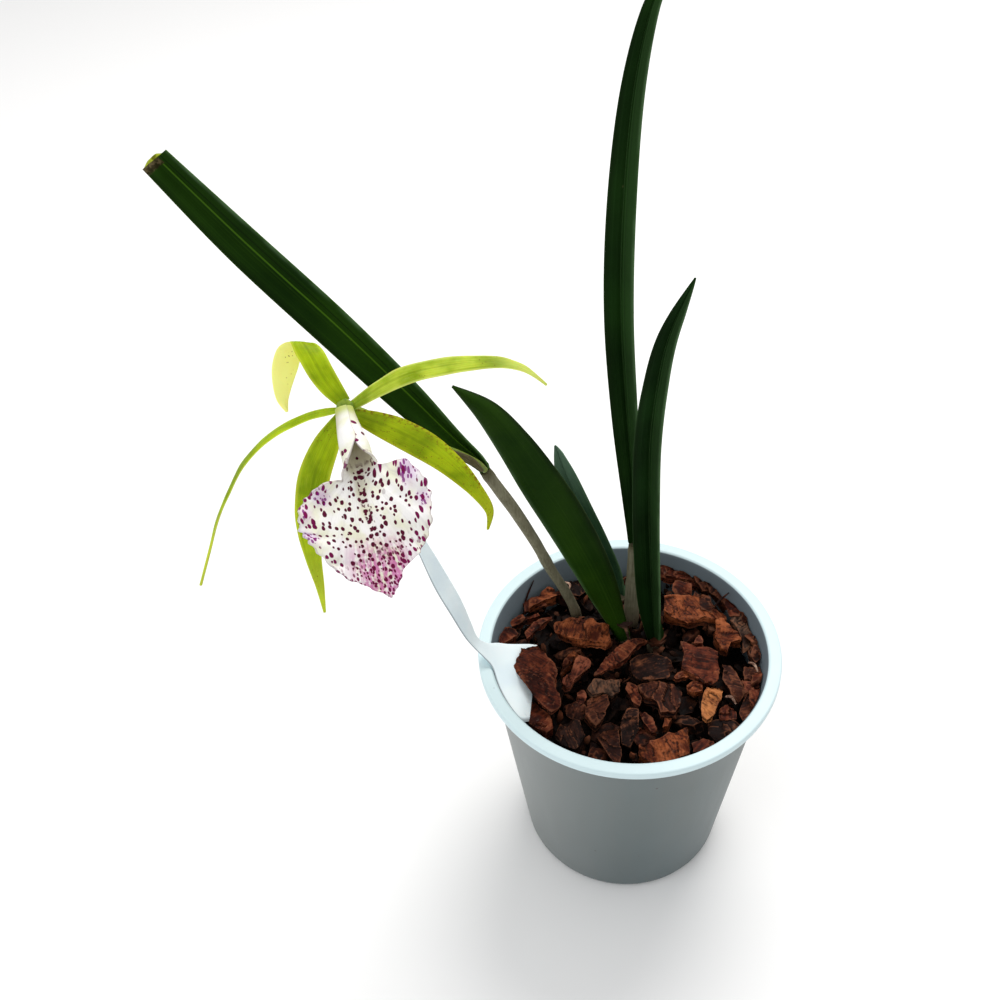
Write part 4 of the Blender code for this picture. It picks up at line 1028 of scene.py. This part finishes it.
# The middle line, the radii along it and how far along each sheath ends.
CANES = {
    "a": (((-14.2, 27.8, 78), (-16.3, 26.2, 90), (-20.4, 23, 105), (-25.4, 19.3, 120), (-30.8, 14.8, 138.8),
           (-36.4, 10.2, 156.2), (-41.8, 5.9, 171.3), (-45.3, 3.4, 180.8)),
          (1.8, 1.8, 1.7, 1.75, 1.9, 2.0, 1.95, 1.8), (0.16, 0.5, 0.97)),
    "b": (((1.8, 14.6, 78), (1.2, 15, 82), (0.3, 15.6, 86)), (2.6, 2.8, 2.6), (0.5,)),
    "c": (((0.8, 33.5, 78), (1.2, 33.3, 83), (1.6, 33, 88)), (2.2, 2.4, 2.2), (0.5,)),
    "d": (((4.4, 22.8, 78), (4.4, 22.8, 92), (4.3, 22.7, 110), (4.2, 22.6, 126)), (2.6, 2.7, 2.3, 2.0),
          (0.25, 0.62, 0.94)),
    "e": (((12.4, 13.4, 78), (12.2, 13.2, 82), (11.8, 12.9, 86)), (2.8, 3.0, 2.8), (0.5,)),
}


def line_frame(points, share, side_on):
    """The place and the two directions round a curved line, kept from twisting by side_on."""
    run = (smooth(points, share + 0.01) - smooth(points, share - 0.01)).normalized()
    first = (side_on - run * side_on.dot(run)).normalized()
    return smooth(points, share), first, run.cross(first)


def stem_bar(points, radii, around, steps, shape=None):
    """A bar on a curved line. shape(share, turn) is added to the radius there."""
    bm = round_bar(around, steps)
    columns = {"along": []}
    for dot in bm.verts:
        x, y, share = dot.co
        turn = math.atan2(y, x)
        middle, first, second = line_frame(points, share, Vector((1, 0.2, 0)))
        radius = smooth(radii, share) + (shape(share, turn) if shape else 0.0)
        dot.co = middle + (first * x + second * y) * radius
        columns["along"].append(share)
    bmesh.ops.recalc_face_normals(bm, faces=bm.faces)
    return bm, columns


def sheathed(ends, seed):
    """The step at each sheath's ragged end, the swelling under it and the paper's ribs, in mm."""
    def shape(share, turn):
        ribs = 0.05 * math.sin(turn * 14 + 3 * noise.noise(Vector((turn, share * 3, seed))))
        crease = 0.12 * noise.noise(Vector((math.cos(turn) * 1.4, math.sin(turn) * 1.4, share * 9 + seed)))
        total = ribs + crease
        for end in ends:
            at_edge = Vector((math.cos(turn) * 2, math.sin(turn) * 2, end * 30 + seed))
            ragged = end + 0.014 * noise.noise(at_edge)
            over = min(1.0, max(0.0, (share - ragged) / 0.008))
            total += 0.2 * (1 - over) / len(ends) + 0.12 * math.exp(-((share - end + 0.03) / 0.02) ** 2)
        return total - 0.1

    return shape


def cane_finish():
    finish = Finish("cane_sheath", Specular_IOR_Level=0.12)
    spot = finish.place()
    x, y, z = finish.parts(spot)
    fibres = finish.noise(finish.vector(x * 2.2, y * 2.2, z * 0.08), 1.0, 3.0, 0.6)
    blotch = finish.noise(spot, 0.14, 3.0, 0.6)
    finish.colour = finish.ramp(fibres * 0.55 + blotch * 0.45, [
        (0.25, paint(78, 76, 58)), (0.45, paint(106, 103, 82)),
        (0.62, paint(126, 123, 102)), (0.85, paint(148, 144, 122)),
    ])
    finish.coat(finish.step(blotch, 0.58, 0.72) * 0.5, paint(78, 82, 46))
    finish.coat(finish.step(z, 100.0, 86.0) * 0.5, paint(104, 84, 66))
    finish.coat(finish.specks(spot, 0.42, (0.13, 0.05), 0.1, (0.5, 0.6)) * 0.7, paint(58, 38, 24))
    joint = finish.step(finish.number("along"), 0.9, 0.99) * finish.step(z, 110.0, 130.0)
    finish.coat(joint * 0.75, paint(62, 58, 30))
    return finish.done(0.5 + 0.25 * fibres, 0.08 * fibres + 0.06 * blotch)


cane_skin = cane_finish()
for number, (key, (points, radii, ends)) in enumerate(CANES.items()):
    points = vectors(points)
    steps = max(16, round((points[-1] - points[0]).length / CANE_STEP))
    shape = stem_bar(points, radii, CANE_AROUND, steps, sheathed(ends, number * 3.7))
    add_piece(f"cane_{key}_sheathed", shape, cane_skin, [f"cane_{key}"])

# %% [markdown]
# A few thin things lie in the bark as well: a twig, a stick that leans on the wall, pale curls of inner
# bark and a husk. They are stem bars like the canes, only thinner, with a bark tint of their own.

# %% Bits in the bark
# Tint, radius and middle line.
BARK_BITS = (
    ("dark", 0.4, ((33.8, 20, 92.5), (36.8, 21.4, 95.6), (39.8, 22.3, 98))),
    ("brown", 0.6, ((-35.9, 30.5, 89), (-34, 33.5, 93), (-31.5, 36.5, 97))),
    ("pale", 0.5, ((41.7, -5.8, 92.3), (43.1, -7.6, 93.3), (43.9, -9.9, 92.2))),
    ("pale", 0.5, ((30.9, -19.5, 92), (32.6, -20.5, 93), (33.8, -22.6, 91.8))),
    ("pale", 0.45, ((-19.1, 38, 92.5), (-17.1, 35.8, 93.2), (-18, 33.2, 91.8))),
    ("grey", 0.7, ((0.3, 15, 95), (0.9, 12.4, 94), (1.8, 9.3, 90))),
)


def bark_bits(finish):
    bed = Bed()
    for k, (tint, radius, route) in enumerate(BARK_BITS):
        bit, _ = stem_bar(vectors(route), [radius * 0.7, radius, radius * 0.5], around=10, steps=20)
        bed.add(bit, Matrix.Identity(4), tint, k + 400)
    return bed.piece("bark_bits", finish)


bark_bits(bark)

# %% [markdown]
# The flower faces up and towards the viewer, so it gets its own axes: right, up and forwards. Every
# sepal and petal is a row of points in those axes, with a half width and the way its face turns.

# %% The flower's axes
FLOWER_CENTRE = Vector((-82.5, -2.7, 212.4))
up_tilt, roll = math.radians(42.6), math.radians(-3.7)
FORWARDS = Vector((0, -math.cos(up_tilt), math.sin(up_tilt)))
rise = FORWARDS.cross(Vector((1, 0, 0)))
RIGHT = Vector((1, 0, 0)) * math.cos(roll) + rise * math.sin(roll)
UP = FORWARDS.cross(RIGHT)


def in_flower(x, y, out):
    return FLOWER_CENTRE + RIGHT * x + UP * y + FORWARDS * out


print("the flower faces", [round(x, 2) for x in FORWARDS])

# %% [markdown]
# Three sepals and two petals, all narrow and arching like a spider's legs. They are thin, a little
# ridged along the middle, and their edges wave slightly, so they use the same bar as the leaves with a
# thinner section and a gentle ripple along both margins.

# %% Sepals and petals
# Right, up and out, the half width, then the way the face turns: right, up and forwards.
TEPALS = {
    "sepal_dorsal": (
        (-1.2, 2.6, 0, 2, 0, 0, 1), (-3.6, 5.6, 1.4, 3.1, 0.1, 0, 1), (-6.4, 9.8, 2.4, 3.6, 0.1, 0.1, 1),
        (-9.4, 15.2, 2.2, 3.8, 0.1, 0.5, 0.8), (-12.4, 18.6, 0.2, 3.7, 0, 1, 0.1),
        (-15.8, 16.6, -2.6, 3.8, -0.5, 0.5, -0.8), (-17.5, 12, -4.2, 3.7, -0.3, 0.1, -0.9),
        (-18.4, 7.4, -5.4, 2.9, -0.2, 0, -1), (-18.5, 3.1, -6, 1.8, -0.2, 0, -1),
        (-17.3, -0.6, -6.4, 0.4, -0.3, 0, -1),
    ),
    "petal_right": (
        (2.9, 1.3, 0, 1.4, 0.1, 0.2, 1), (9.7, 5.3, 2.4, 2.4, 0.1, 0.3, 1), (18, 9.1, 4, 3, 0, 0.4, 1),
        (29.1, 11.5, 4, 2.9, 0.1, 0.5, 1), (40.2, 12.6, 2.5, 2.2, 0.2, 0.5, 1),
        (49, 11.4, 0, 1.4, 0.3, 0.6, 1), (56.2, 6.8, -3, 0.4, 0.4, 0.7, 1),
    ),
    "sepal_right": (
        (2.7, -1.9, -0.2, 1.6, 0, 0.1, 1), (8.3, -3.9, 1.2, 3.3, 0, 0.2, 1),
        (15.3, -6.8, 2.2, 4.2, 0, 0.2, 1), (23.6, -11.3, 2.6, 4.2, 0.1, 0.2, 1),
        (30.5, -16.6, 2, 3.4, 0.2, 0.2, 1), (36.2, -22.5, 0.4, 2.4, 0.3, 0.2, 1),
        (40.1, -28.4, -2, 1.4, 0.4, 0.2, 1), (39.6, -33.9, -4.5, 0.4, 0.5, 0.2, 1),
    ),
    "sepal_left": (
        (-1.4, -3, -0.6, 1.7, 0, 0, 1), (-5.4, -10, -1, 3.8, 0, 0, 1), (-8.9, -18.6, -2, 4.6, 0, 0, 1),
        (-10.3, -26.9, -3, 4.5, 0, 0, 1), (-10.4, -34, -4, 3.9, 0, 0, 1), (-9.9, -41, -5.2, 2.6, 0, 0.1, 1),
        (-8.2, -49.4, -6.6, 1.4, 0, 0.2, 1), (-7, -57.6, -8.4, 0.4, 0, 0.3, 1),
    ),
    "petal_left": (
        (-3.2, -0.6, 0, 1.3, 0.3, 1.4, 1), (-9.7, -2.1, 2, 2.2, 0.3, 1.6, 1),
        (-17, -5.6, 3.2, 2.6, -0.2, 1.8, 1), (-23.6, -10.4, 3.2, 2.6, -1, 1.6, 1),
        (-28.6, -16.4, 2.4, 2.3, -1.6, 1.2, 1), (-32.6, -23.5, 0.8, 1.9, -1.9, 0.8, 1),
        (-36.2, -31.3, -1.4, 1.4, -2, 0.6, 1), (-39, -39.8, -4, 1, -2, 0.5, 1),
        (-42.3, -49.6, -7, 0.4, -2, 0.5, 1),
    ),
}
TEPAL_FOLD = math.radians(12.0)
TEPAL_AROUND, TEPAL_STEPS = 40, 14


def tepal_place(rows, seed):
    points = [in_flower(*row[:3]) for row in rows]
    points[0] -= (points[1] - points[0]).normalized() * 1.6
    widths = [row[3] for row in rows]
    faces = [(RIGHT * row[4] + UP * row[5] + FORWARDS * row[6]).normalized() for row in rows]

    def place(share, side):
        middle, across, face = strip_frame(points, faces, share)
        reach = max(smooth(widths, share), 0.3) * side
        wave = 0.35 * side ** 2 * noise.noise(Vector((share * 9, side, seed))) * min(1, 6 * (1 - share))
        droop = abs(reach) * math.sin(TEPAL_FOLD) * 0.6 - wave
        return middle + across * (reach * math.cos(TEPAL_FOLD)) - face * droop

    return place


def tepal_section(share, side):
    thick = 0.25 + 0.5 * (1 - abs(side) ** 1.5)
    rib = 0.12 * math.exp(-(side / 0.12) ** 2)
    ripple = 0.035 * math.cos(side * 19)
    return ripple - rib, ripple - rib * 0.2 - thick


def tepal_finish(name, fresh, deep, edge, back, specks_share, rusty):
    finish = Finish(name, Specular_IOR_Level=0.08, Subsurface_Weight=0.15, Subsurface_Scale=0.0006)
    spot = finish.place()
    side, along, upper = finish.number("side"), finish.number("along"), finish.number("upper")
    veins = finish.noise(finish.vector(side * 13.0, along * 2.5, 0.0), 1.0, 2.0)
    fine = finish.noise(finish.vector(side * 40.0, along * 14.0, 0.0), 1.0, 2.0)
    cloud = finish.noise(spot, 0.11, 3.0)
    finish.colour = finish.blend(finish.step(cloud, 0.35, 0.7), fresh, deep)
    finish.coat(finish.step(veins, 0.45, 0.7) * 0.5, deep)
    finish.coat(finish.step(fine, 0.5, 0.8) * 0.35, edge)
    midrib = finish.step(abs(side + 0.08 * (cloud - 0.5)), 0.13, 0.03) * finish.step(along, 0.95, 0.5)
    finish.coat(midrib * finish.step(veins + cloud, 0.7, 1.1) * 0.35, paint(92, 112, 6))
    finish.coat(finish.step(abs(side), 0.7, 1.0) * 0.55, edge)
    finish.coat(finish.step(along, 0.6, 0.95) * 0.6, edge)
    finish.coat(finish.step(upper, 0.2, -0.4) * 0.95, back)
    finish.coat(finish.step(along, 0.12, 0.0) * 0.4, paint(112, 140, 30))
    where = (1.0 - specks_share, 1.08 - specks_share)
    finish.coat(finish.specks(spot, 1.1, (0.24, 0.12), 0.12, where) * 0.7, paint(112, 64, 16))
    blush = finish.step(side * rusty, 0.3, 0.95) * finish.step(finish.noise(spot, 0.9, 4.0, 0.7), 0.5, 0.6)
    finish.coat(blush * abs(rusty) * 0.75, paint(110, 58, 14))
    return finish.done(0.38 + 0.2 * veins, 0.06 * veins + 0.03 * fine)


# Fresh, deep, edge and back colours, the share that has specks, and the rusty side: -1 is the upper
# margin of the right sepal, 0 is none.
FRESH, DEEP, EDGE, BACK = paint(166, 190, 14), paint(120, 146, 1), paint(212, 226, 70), paint(202, 214, 76)
TEPAL_LOOKS = {
    "tepal_green": (FRESH, DEEP, EDGE, BACK, 0.44, 0.0),
    "tepal_green_rusty": (paint(156, 176, 12), paint(112, 134, 2), paint(184, 190, 36), BACK, 0.56, -1.0),
    "tepal_green_streaked": (paint(186, 204, 60), DEEP, paint(222, 230, 130), BACK, 0.4, 0.0),
    "tepal_green_pale": (FRESH, DEEP, EDGE, paint(255, 255, 150), 0.46, 0.0),
}
green, rusty, streaked, pale = (tepal_finish(name, *look) for name, look in TEPAL_LOOKS.items())
worn = {"sepal_dorsal": pale, "sepal_right": rusty, "petal_right": streaked}
for seed, (name, rows) in enumerate(TEPALS.items()):
    steps = TEPAL_STEPS * (len(rows) - 1)
    shape = thin_bar(tepal_place(rows, seed), tepal_section, TEPAL_AROUND, steps)
    add_piece(f"{name}_blade", shape, worn.get(name, green), [name])

# %% [markdown]
# The lip is the flower's landing place. Near the column it wraps into a tube, then it opens into a
# wide ruffled blade with a point. A sheet that rolls and opens is a grid whose points are moved by a
# formula for the roll, then given thickness. Pleats run out from the throat, and the edge is frilled.

# %% The lip's shape
# Right, up, out along its midrib, the radius that it wraps round, then for the left and the right
# margin how far out along the sheet it lies and how far towards the column it sweeps.
LIP = (
    (-0.1, -0.9, 1.9, 1.9, 6.3, 0, 6.3, 0), (1.3, -6.5, 3, 2.7, 8.8, 0, 8.8, 0),
    (3, -12, 4.6, 3.5, 11.2, 0, 11.2, 0), (4.6, -17.2, 6.6, 3.8, 8, -0.4, 8.8, 1),
    (5.1, -20, 7.6, 8, 5.2, -0.8, 5, 3.6), (5.5, -22.7, 8.4, 24, 12.2, 0.9, 13.3, 6),
    (6.9, -28.3, 9.6, 60, 17.4, 4.2, 18.2, 1.2), (8.9, -33.8, 9.8, 60, 18.3, 5, 15.3, -3),
    (10.5, -39.3, 9.4, 50, 15.4, 3.6, 10.8, -3), (12.3, -45.3, 8.4, 40, 9.4, 1.7, 4.4, -1.1),
    (14.2, -51.2, 7, 30, 0.5, 0, 0.5, 0),
)
RUFFLE_RATE, RUFFLE_HEIGHT = 0.82, 0.8
lip_points = [in_flower(*row[:3]) for row in LIP]
steps_between = [(b - a).length for a, b in zip(lip_points, lip_points[1:])]
LIP_LENGTH = sum(steps_between)
THROAT = 0.3 * LIP_LENGTH
lip_runs = [sum(steps_between[:k]) for k in range(len(LIP))]
lip_wraps = [1 / row[3] for row in LIP]
lip_margins = [Vector(row[4:8]) for row in LIP]
lip_face = (RIGHT * 0.25 + FORWARDS).normalized()


def lip_place(share, side):
    middle, across, out = strip_frame(lip_points, [lip_face, lip_face], share)
    bend = max(smooth(lip_wraps, share), 0.004)
    run = smooth(lip_runs, share)
    open_share = min(max((run - 15.0) / 9.0, 0.0), 1.0)
    left_wide, left_sweep, right_wide, right_sweep = smooth(lip_margins, share)
    wide, sweep = (left_wide, left_sweep) if side > 0 else (right_wide, right_sweep)
    frill = 0.02 * math.sin(run * 2.8 + 2 * side) + 0.03 * noise.noise(Vector((run * 0.4, side * 3, 5.0)))
    reach = max(wide, 0.3) * side * (1 + frill * open_share * abs(side) ** 4)
    fan = math.atan2(reach, max(run - THROAT, 0.5))
    pleat = 0.14 * open_share * math.sin(fan * 30) * min(1.0, abs(side) * 2)
    crimp = 0.35 * open_share * abs(side) ** 5 * math.sin(run * 1.8 + 4 * side)
    ruffle = RUFFLE_HEIGHT * open_share * abs(side) ** 3 * math.sin(run * RUFFLE_RATE + 1.5 * side)
    groove = 2.2 * open_share * (1 - share) * math.exp(-(reach / 2.4) ** 2)
    turn = reach * bend
    lap = 0.35 * (turn / math.pi) ** 3 * (1 - open_share)
    rise = (1 - math.cos(turn)) / bend - lap * math.cos(turn)
    aside = math.sin(turn) / bend + lap * math.sin(turn)
    height = rise + ruffle + crimp + pleat - groove
    return middle + across * aside + out * height + across.cross(out) * (sweep * side * side), reach


def lip_sheet():
    bm = bmesh.new()
    bmesh.ops.create_grid(bm, x_segments=96, y_segments=130, size=1.0)
    columns = {"reach": [], "run": [], "margin": []}
    for dot in bm.verts:
        side, share = dot.co.x, (dot.co.y + 1) / 2
        dot.co, reach = lip_place(share, side)
        columns["reach"].append(reach)
        columns["run"].append(smooth(lip_runs, share))
        columns["margin"].append(max(abs(side), (share - 0.9) * 10 if share > 0.9 else 0.0))
    return bm, columns


print("the lip is", round(LIP_LENGTH, 1), "mm long")

# %% [markdown]
# The lip is white with crisp purple-brown spots, and fine veins fan out over it from the throat.
# Cells laid over the sheet give the spots: each cell's random number sets the size of its spot, and
# some cells stay empty. Violet patches with crowded spots sit on the margins, and a magenta blush
# with small dashes fills the last third.

# %% The lip's finish
# How far across and along the sheet each patch lies, and its radius.
VIOLET_PATCHES = (
    (11.1, 25.4, 2.4), (15.9, 29.6, 1.4), (16.7, 35.8, 2.2), (-13.7, 24.5, 3.0), (-15.8, 31.0, 1.8),
)


def lip_finish():
    finish = Finish("lip_white", Specular_IOR_Level=0.15)
    reach, run, margin = finish.number("reach"), finish.number("run"), finish.number("margin")
    ahead_of = run - THROAT
    fan = finish.calc("ARCTAN2", reach, ahead_of)
    far = (reach * reach + ahead_of * ahead_of) ** 0.5
    blade = finish.step(run, 15.0, 18.0)
    flat = finish.vector(reach, run)
    fine = finish.noise(flat, 0.9, 3.0)
    cloud = finish.noise(flat, 0.16, 3.0)
    veins = finish.noise(finish.vector(fan * 30.0, far * 0.05), 1.0, 2.0)

    def spots(across, along, small, large, share):
        """Round spots: across and along set how close they stand, share is how many places have one."""
        grid = finish.vector(reach * across + fine * 0.3, run * along + fine * 0.3)
        near = finish.cells(grid, 1.0, 0.85, flat=True)
        size, keep, _ = finish.parts(finish.cells(grid, 1.0, 0.85, output=1, flat=True))
        edge = near - (small + (large - small) * size)
        return finish.step(edge, 0.035, -0.035) * finish.step(keep, 1.0 - share, 1.01 - share)

    tip = finish.step(run - 0.3 * reach, 38.0, 45.0)
    thin = finish.step(finish.noise(flat, 0.3, 2.0), 0.28, 0.34)
    big = spots(0.6, 0.5, 0.15, 0.35, 0.92) * blade * thin
    dashes = spots(1.1, 0.6, 0.14, 0.4, 0.7) * tip
    line = finish.step(abs(reach + 0.6 * fine), 1.2, 0.7) * finish.step(run, 45.0, 40.0)
    beads = finish.cells(finish.vector(reach * 0.5, run * 0.62 + 5.0), 1.0, 0.6, flat=True)
    middle = finish.step(beads, 0.4, 0.32) * line * blade
    tube = spots(0.5, 0.45, 0.2, 0.34, 0.34) * finish.step(run, 18.0, 15.0) * finish.step(run, 3.0, 4.0)
    mark = finish.calc("MAXIMUM", finish.calc("MAXIMUM", big, dashes), finish.calc("MAXIMUM", middle, tube))

    finish.colour = finish.blend(finish.step(cloud, 0.4, 0.65), paint(242, 240, 238), paint(230, 230, 206))
    finish.coat(finish.step(veins, 0.5, 0.7) * 0.3 * blade, paint(206, 196, 204))
    blush = finish.step(run, 34.0, 44.0) * finish.step(abs(reach - 0.5), 11.0, 4.0)
    blush = blush * finish.step(veins * 0.6 + fine * 0.5, 0.4, 0.62)
    finish.coat(blush * 0.8, paint(196, 70, 156))
    patch = 0.0
    for at_reach, at_run, wide in VIOLET_PATCHES:
        off = ((reach - at_reach) ** 2 + (run - at_run) ** 2) ** 0.5
        patch = finish.step(off + fine * 2.0, wide + 2.4, wide * 0.6) + patch
    finish.coat(patch * 0.45, paint(196, 142, 212))
    crowd = spots(1.05, 0.9, 0.2, 0.44, 0.8) * finish.step(patch, 0.35, 0.6)
    # A khaki tone in the throat and down the middle groove: partly the lip's own colour, partly painted
    # shade.
    mouth = finish.step(abs(reach), 7.0, 4.0) * finish.step(run, 22.0, 15.0)
    channel = finish.step(abs(reach), 2.0, 0.6) * finish.step(run, 38.0, 24.0) * 0.6
    finish.coat(finish.calc("MAXIMUM", mouth, channel) * 0.75, paint(190, 180, 142))
    root = finish.step(run, 3.5, 0.5)
    finish.coat(root * 0.8, paint(176, 190, 70))
    ink = finish.blend(finish.step(margin, 0.55, 0.95), paint(78, 0, 34), paint(118, 0, 74))
    finish.coat(mark, finish.blend(tip * 0.5, ink, paint(122, 0, 70)))
    finish.coat(crowd * 0.9, paint(124, 16, 116))
    finish.coat(finish.step(margin, 0.97, 1.0) * 0.35, paint(140, 110, 130))
    cells = finish.noise(finish.place(), 2.5, 2.0)
    return finish.done(0.45 + 0.15 * cloud, 0.14 * veins + 0.05 * fine + 0.03 * cells)


lip_white = lip_finish()
lip = add_piece("lip_blade", lip_sheet(), lip_white, ["lip"])
shell = lip.modifiers.new("thickness", "SOLIDIFY")
shell.thickness = 0.6 * MM
shell.offset = -1.0

# %% [markdown]
# Inside the tube stands the column, the flower's fused stamen and pistil: a short pale rod that swells
# to a hooded tip with the anther cap on it. It shows only as a glimpse in the throat, but it is there.

# %% The column
def column_shape(share, turn):
    hood = 0.5 * math.exp(-((share - 0.88) / 0.08) ** 2)
    wings = 0.25 * abs(math.cos(turn)) * share
    return hood + wings - 0.75 * max(0.0, share - 0.94) / 0.06


points = [in_flower(0.6, -1.0, 4.0), in_flower(1.2, -4.2, 4.9), in_flower(2.2, -8.4, 6.2)]
bm, columns = stem_bar(points, [0.8, 0.9, 1.0], around=28, steps=40, shape=column_shape)
columns |= {"reach": [8.0] * len(bm.verts), "run": [2.0] * len(bm.verts), "margin": [0.0] * len(bm.verts)}
add_piece("column_hood", (bm, columns), lip_white, ["column"])

# %% [markdown]
# The stalk carries the flower. Its last part is the ovary: thicker, with six soft ribs that twist a
# little, and it ends in the small knob that the sepals, petals and lip all grow from.

# %% The stalk
STALK = (
    (-45.1, 2.0, 182.1), (-47.3, 1.6, 185.7), (-52.4, 2.0, 189.4), (-59.0, 1.6, 193.8), (-68.5, 0.4, 200.9),
    (-76.4, 0.6, 206.4),
)
stalk_points = vectors(STALK) + [in_flower(0, 0, -2.8), in_flower(0, 0, -0.6), in_flower(0, 0, 0.6)]
stalk_radii = [0.9, 0.9, 0.9, 0.9, 1.0, 1.3, 1.8, 2.6, 2.3]


def stalk_shape(share, turn):
    ribs = 0.12 * math.cos(6 * turn + share * 5) * min(1.0, max(0.0, (share - 0.45) * 5))
    joint = 0.15 * math.exp(-((share - 0.36) / 0.015) ** 2)
    return ribs + joint - 0.7 * max(0.0, share - 0.97) / 0.03


def stalk_finish():
    finish = Finish("stalk_green", Specular_IOR_Level=0.4)
    along = finish.number("along")
    streaks = finish.noise(finish.place(), 0.8, 3.0)
    finish.colour = finish.blend(finish.step(streaks, 0.35, 0.7), paint(128, 150, 30), paint(96, 124, 24))
    finish.coat(finish.step(along, 0.45, 0.1) * 0.6, paint(86, 92, 40))
    return finish.done(0.45, 0.06 * streaks)


shape = stem_bar(stalk_points, stalk_radii, around=28, steps=110, shape=stalk_shape)
add_piece("flower_stalk_ribbed", shape, stalk_finish(), ["flower_stalk"])

# %% [markdown]
# A dry brown sheath is left at the stalk's foot, where the bud broke through. It is a thin curled
# scrap of papery skin, so it is a bar again, pressed thin and curled round its length.

# %% The dry sheath
# x, y, z and half width from the foot to the ragged end.
SHEATH = (
    (-46.0, 1.1, 182.9, 0.35), (-48.4, 0.2, 187.1, 0.9), (-51.3, 0.1, 189.7, 0.85), (-55.0, 0.3, 192.3, 0.3),
)


def sheath_place(share, side):
    turned_to = Vector((0.1, -0.8, 0.6))
    middle, across, face = strip_frame(vectors(SHEATH), [turned_to, turned_to], share)
    reach = smooth([row[3] for row in SHEATH], share) * side
    return middle + across * reach - face * (reach * reach * 0.3)


def sheath_section(share, side):
    crease = 0.12 * noise.noise(Vector((share * 5, side * 3, 1.0)))
    return 0.5 + crease, 0.1 + crease


def dry_finish():
    finish = Finish("dry_sheath", Specular_IOR_Level=0.25)
    side, along = finish.number("side"), finish.number("along")
    fibres = finish.noise(finish.vector(side * 9.0, along * 3.0), 1.0, 3.0)
    browns = [(0.3, paint(36, 40, 14)), (0.5, paint(74, 68, 38)), (0.75, paint(118, 106, 76))]
    finish.colour = finish.ramp(fibres, browns)
    return finish.done(0.6 + 0.25 * fibres, 0.12 * fibres + 0.1 * finish.noise(finish.place(), 0.9))


shape = thin_bar(sheath_place, sheath_section, around=28, steps=40)
add_piece("flower_sheath_dry", shape, dry_finish(), ["flower_sheath"])

# %% [markdown]
# The plant label is one strip of pale plastic: a narrow tongue that leans out over the rim, a waist,
# and a wide head that lies along the inside of the rim and runs under a chip of bark. It is blank. Its
# two long edges are measured, and every point between them lies on the straight line across.

# %% The label
# Its far and its near edge, from the end of the tongue to the head.
LABEL_FAR = (
    (-67.2, -4.6, 167.3), (-64.4, -3.1, 157.8), (-60.4, -1.0, 143.0), (-56.5, 0.3, 128.5),
    (-54.0, 1.0, 116.0), (-52.2, 0.9, 107.8), (-49.0, 2.1, 102.8), (-45.3, 4.4, 99.6), (-41.8, 5.6, 97.2),
    (-38.2, 6.9, 95.2), (-34.6, 8.3, 93.2), (-31.4, 9.3, 91.2),
)
LABEL_NEAR = (
    (-69.2, -6.8, 166.7), (-67.2, -6.9, 156.8), (-63.8, -7.0, 141.6), (-59.6, -6.4, 127.3),
    (-56.2, -5.0, 115.0), (-53.4, -3.5, 107.0), (-50.4, -4.4, 102.8), (-47.6, -6.7, 99.4),
    (-45.9, -13.4, 97.2), (-43.0, -20.7, 95.8), (-39.9, -25.7, 94.4), (-36.4, -24.0, 91.6),
)
label_far, label_near = vectors(LABEL_FAR), vectors(LABEL_NEAR)


def label_place(share, side):
    return smooth(label_far, share).lerp(smooth(label_near, share), (side + 1) / 2)


def label_section(share, side):
    rib = 0.12 * math.exp(-((abs(side) - 0.8) / 0.1) ** 2) * min(1.0, max(0.0, (0.55 - share) * 6))
    return 0.3 + rib, -0.3


def label_finish():
    # Painted light: a faint emission stands in for the light that passes through the thin plastic.
    painted_glow = {"Emission_Color": (0.78, 0.94, 1.0), "Emission_Strength": 0.1}
    finish = Finish("label_white", Specular_IOR_Level=0.4, **painted_glow)
    spot = finish.place()
    cloud = finish.noise(spot, 0.05, 3.0)
    scuffs = finish.noise(spot, 0.7, 4.0, 0.7)
    finish.colour = finish.blend(finish.step(cloud, 0.3, 0.7), paint(240, 250, 252), paint(222, 236, 242))
    # Painted shade along the label's near edge.
    finish.coat(finish.step(finish.number("side"), 0.86, 0.97) * 0.8, paint(74, 84, 92))
    dirt = finish.step(finish.parts(spot)[2], 94.5, 91.0) * finish.step(scuffs, 0.45, 0.65)
    finish.coat(dirt * 0.4, paint(150, 128, 108))
    return finish.done(0.3 + 0.15 * scuffs, 0.02 * scuffs)


shape = thin_bar(label_place, label_section, around=40, steps=90)
add_piece("label_strip", shape, label_finish(), ["label"])

# %% [markdown]
# The rhizome and its roots lie under the bark, where only a cut through the pot would show them. Their
# solids already have the right shape, so they keep it and only get a finish: silvery corky skin with
# greener and browner patches.

# %% The rhizome's finish
def rhizome_finish():
    finish = Finish("rhizome_skin", Specular_IOR_Level=0.25)
    spot = finish.place()
    cork = finish.noise(spot, 0.9, 4.0, 0.65)
    patches = finish.noise(spot, 0.12, 2.0)
    greys = [(0.3, paint(96, 84, 60)), (0.55, paint(158, 150, 124)), (0.8, paint(204, 200, 182))]
    finish.colour = finish.ramp(cork, greys)
    finish.coat(finish.step(patches, 0.5, 0.65) * 0.5, paint(104, 112, 62))
    return finish.done(0.65 + 0.25 * cork, 0.2 * cork)


roots = rhizome_finish()
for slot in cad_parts["rhizome"].material_slots:
    slot.material = roots.material
